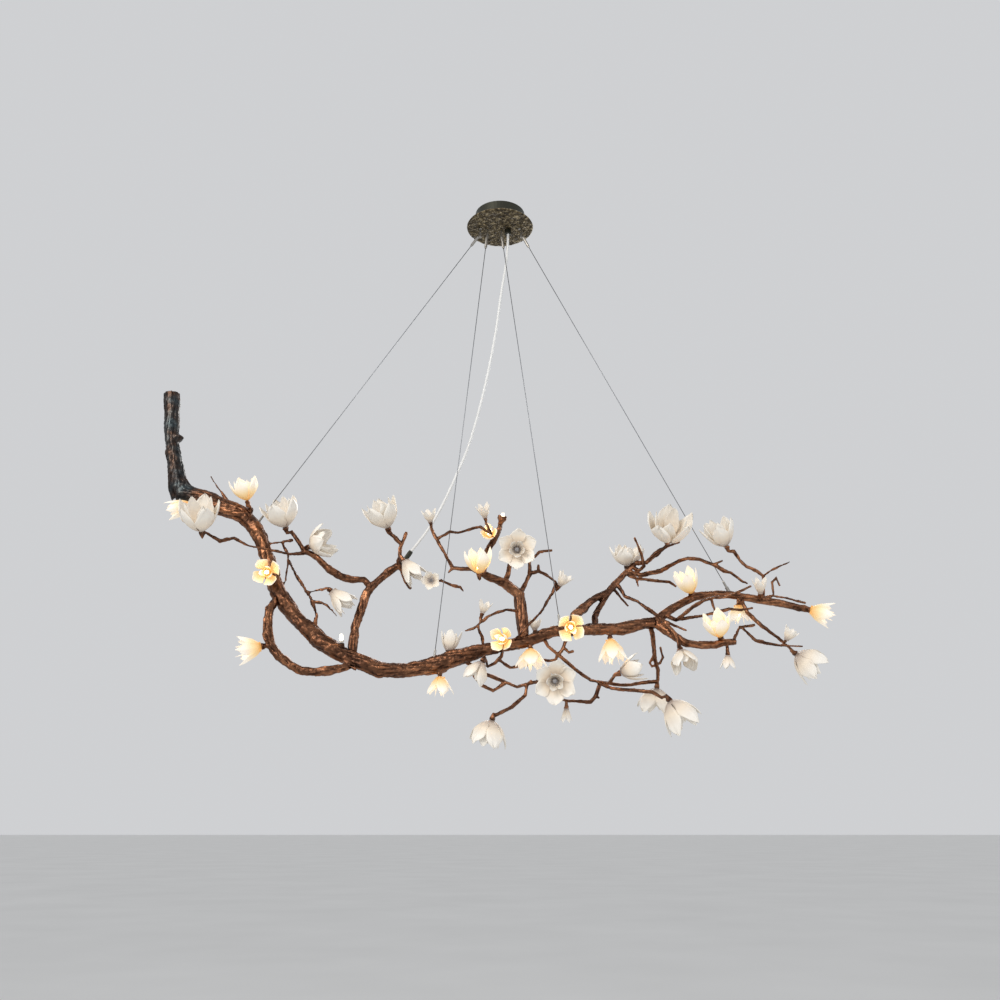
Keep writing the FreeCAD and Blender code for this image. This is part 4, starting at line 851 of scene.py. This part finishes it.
def beaten_disc():
    """The turned plate, its face and its rim beaten by hand."""
    low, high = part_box("canopy_disc")
    radius = (high.x - low.x) / 2
    thick = high.z - low.z
    face = [(radius * (0.02 + 0.96 * k / FACE_RINGS), low.z)
            for k in range(FACE_RINGS + 1)]
    rim = [(radius * 0.995, low.z + thick * 0.25),
           (radius, low.z + thick / 2), (radius * 0.985, high.z)]
    back = [(radius * 0.5, high.z), (radius * 0.02, high.z)]
    mesh = turned("beaten_disc", face + rim + back, DISC_SIDES)
    for corner in mesh.vertices:
        x, y, level = corner.co
        if level > low.z + thick / 2 + SAME_POINT:
            continue
        dent = DENT_DEPTH * noise.fractal(corner.co * DENTS, 0.9, 2.0, 4)
        if level - low.z < SAME_POINT:
            corner.co.z += dent
        if math.hypot(x, y) > radius * 0.97:
            corner.co.x *= 1 + dent * 2
            corner.co.y *= 1 + dent * 2
    mesh.update()
    new_piece("beaten_disc", mesh, "disc", "canopy", ["canopy_disc"])


def dressed(node, name, look, body, width, segments=2):
    """A CAD form with its edges eased, for turned and milled hardware."""
    piece = merged_copy(node, name)
    edit = bmesh.new()
    edit.from_mesh(piece.data)
    bmesh.ops.dissolve_limit(edit, angle_limit=math.radians(2),
                             verts=edit.verts, edges=edit.edges)
    edit.to_mesh(piece.data)
    edit.free()
    ease = piece.modifiers.new("ease", "BEVEL")
    ease.width = width
    ease.segments = segments
    ease.limit_method = "ANGLE"
    ease.angle_limit = math.radians(35)
    mesh = finished(piece)
    mesh.polygons.foreach_set("use_smooth", [False] * len(mesh.polygons))
    new_piece(name, mesh, look, body, [node])


beaten_disc()
dressed("canopy_cup", "cup", "cup", "canopy", 0.0012, 3)
dressed("cord_gland", "gland", "cup", "canopy", 0.0008, 3)
dressed("canopy_screws", "screws", "steel", "canopy", 0.0005)
dressed("cable_eyes", "eyes", "steel", "canopy", 0.0003)
dressed("ceiling_bracket", "bracket", "steel", "canopy", 0.0003)
dressed("led_driver", "driver", "plastic", "canopy", 0.001, 3)
dressed("terminal_block", "terminals", "plastic", "canopy", 0.0006)
dressed("cable_grips", "grips", "steel", "branch", 0.0003)
dressed("cable_anchors", "anchors", "steel", "branch", 0.0004)
dressed("branch_gland", "inlet", "cup", "branch", 0.0006)
for number in range(1, 5):
    dressed("release_sleeve_%d" % number, "sleeve_tube_%d" % number, "steel",
            "sleeve_%d" % number, 0.0003)

CABLE_RADIUS = 0.0010
cable_pile = Pile()
for corners in islands("suspension_cables"):
    middle, way = long_axis(corners)
    low, high = span_along(corners, middle, way)
    cable_pile.stand(turned("cable", [(CABLE_RADIUS, low),
                                      (CABLE_RADIUS, high)], 10), middle, way)
new_piece("cables", cable_pile.mesh("cables"), "cable", "branch",
          ["suspension_cables"])


# ------------------------------------------------------------ power cord
# the bends of the cord in metres, from the canopy gland to the fork
CORD_ROUTE = [
    (0.02260, 0.01000, -0.05640),
    (0.02260, 0.01000, -0.08640),
    (0.01801, 0.01989, -0.14740),
    (0.00329, 0.02855, -0.23210),
    (-0.00730, 0.03226, -0.32389),
    (-0.02208, 0.03350, -0.42102),
    (-0.04038, 0.03597, -0.51566),
    (-0.06155, 0.03845, -0.60841),
    (-0.08658, 0.04092, -0.69933),
    (-0.12078, 0.04463, -0.78257),
    (-0.15450, 0.04834, -0.85890),
    (-0.19001, 0.05205, -0.92324),
    (-0.23071, 0.05700, -0.97367),
]
CORD_THICK = 0.007
curve = bpy.data.curves.new("cord", "CURVE")
curve.dimensions = "3D"
curve.bevel_depth = CORD_THICK / 2
curve.bevel_resolution = 6
curve.use_fill_caps = True
line = curve.splines.new("NURBS")
line.points.add(len(CORD_ROUTE) - 1)
for point, spot in zip(line.points, CORD_ROUTE):
    point.co = (*spot, 1)
line.order_u = 3
line.use_endpoint_u = True
line.resolution_u = 8
cord = bpy.data.objects.new("cord", curve)
bpy.context.scene.collection.objects.link(cord)
curve.materials.append(MATERIALS["cord"])
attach(cord, "branch")
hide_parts("power_cord")

# ---------------------------------------------------------- the setting
FLOOR_LEVEL = -2.75
FLOOR_SIZE = 240
bpy.ops.mesh.primitive_plane_add(size=FLOOR_SIZE,
                                 location=(0, 0, FLOOR_LEVEL))
floor = bpy.context.object
floor.name = "floor"
pale = Paint("pale floor")
pale.set(Base_Color=pale.ramp(pale.noise(0.6, 2), [
    (0.3, (0.74, 0.74, 0.73)), (0.7, (0.78, 0.78, 0.77))]), Roughness=0.9)
floor.data.materials.append(pale.material)


def softbox(name, place, aim, size, power, colour):
    """A wide soft lamp, aimed at a point of the object."""
    light = bpy.data.lights.new(name, "AREA")
    light.shape = "RECTANGLE"
    light.size, light.size_y = size
    light.energy = power
    light.color = colour
    lamp = bpy.data.objects.new(name, light)
    bpy.context.scene.collection.objects.link(lamp)
    lamp.location = place
    way = Vector(aim) - Vector(place)
    lamp.rotation_euler = way.to_track_quat("-Z", "Y").to_euler()


softbox("key", (-1.8, -2.6, 0.6), (0, 0, -1.0), (1.8, 1.8), 64,
        (1.0, 0.96, 0.9))
softbox("fill", (2.6, -2.4, -0.6), (0, 0, -1.1), (2.2, 2.2), 22,
        (0.93, 0.96, 1.0))
softbox("rim", (0.4, 2.4, 0.2), (0, 0, -1.1), (2.0, 1.2), 26,
        (1.0, 0.97, 0.93))

world = bpy.data.worlds.new("studio")
world.use_nodes = True
back = world.node_tree.nodes["Background"]
back.inputs["Color"].default_value = (0.80, 0.81, 0.83, 1)
back.inputs["Strength"].default_value = 0.78
bpy.context.scene.world = world
scene = bpy.context.scene
scene.view_settings.view_transform = "Standard"

CAMERA_PLACE = (0, -2.455, -1.650)      # in front of the branch, and below
CAMERA_TILT = math.radians(108)
FILM_WIDTH = 36                         # in millimetres, as is the lens
camera_data = bpy.data.cameras.new("camera")
camera_data.lens = FILM_WIDTH
camera_data.sensor_width = FILM_WIDTH
camera_data.clip_end = 300
camera = bpy.data.objects.new("camera", camera_data)
scene.collection.objects.link(camera)
camera.location = CAMERA_PLACE
camera.rotation_euler = (CAMERA_TILT, 0, 0)
scene.camera = camera
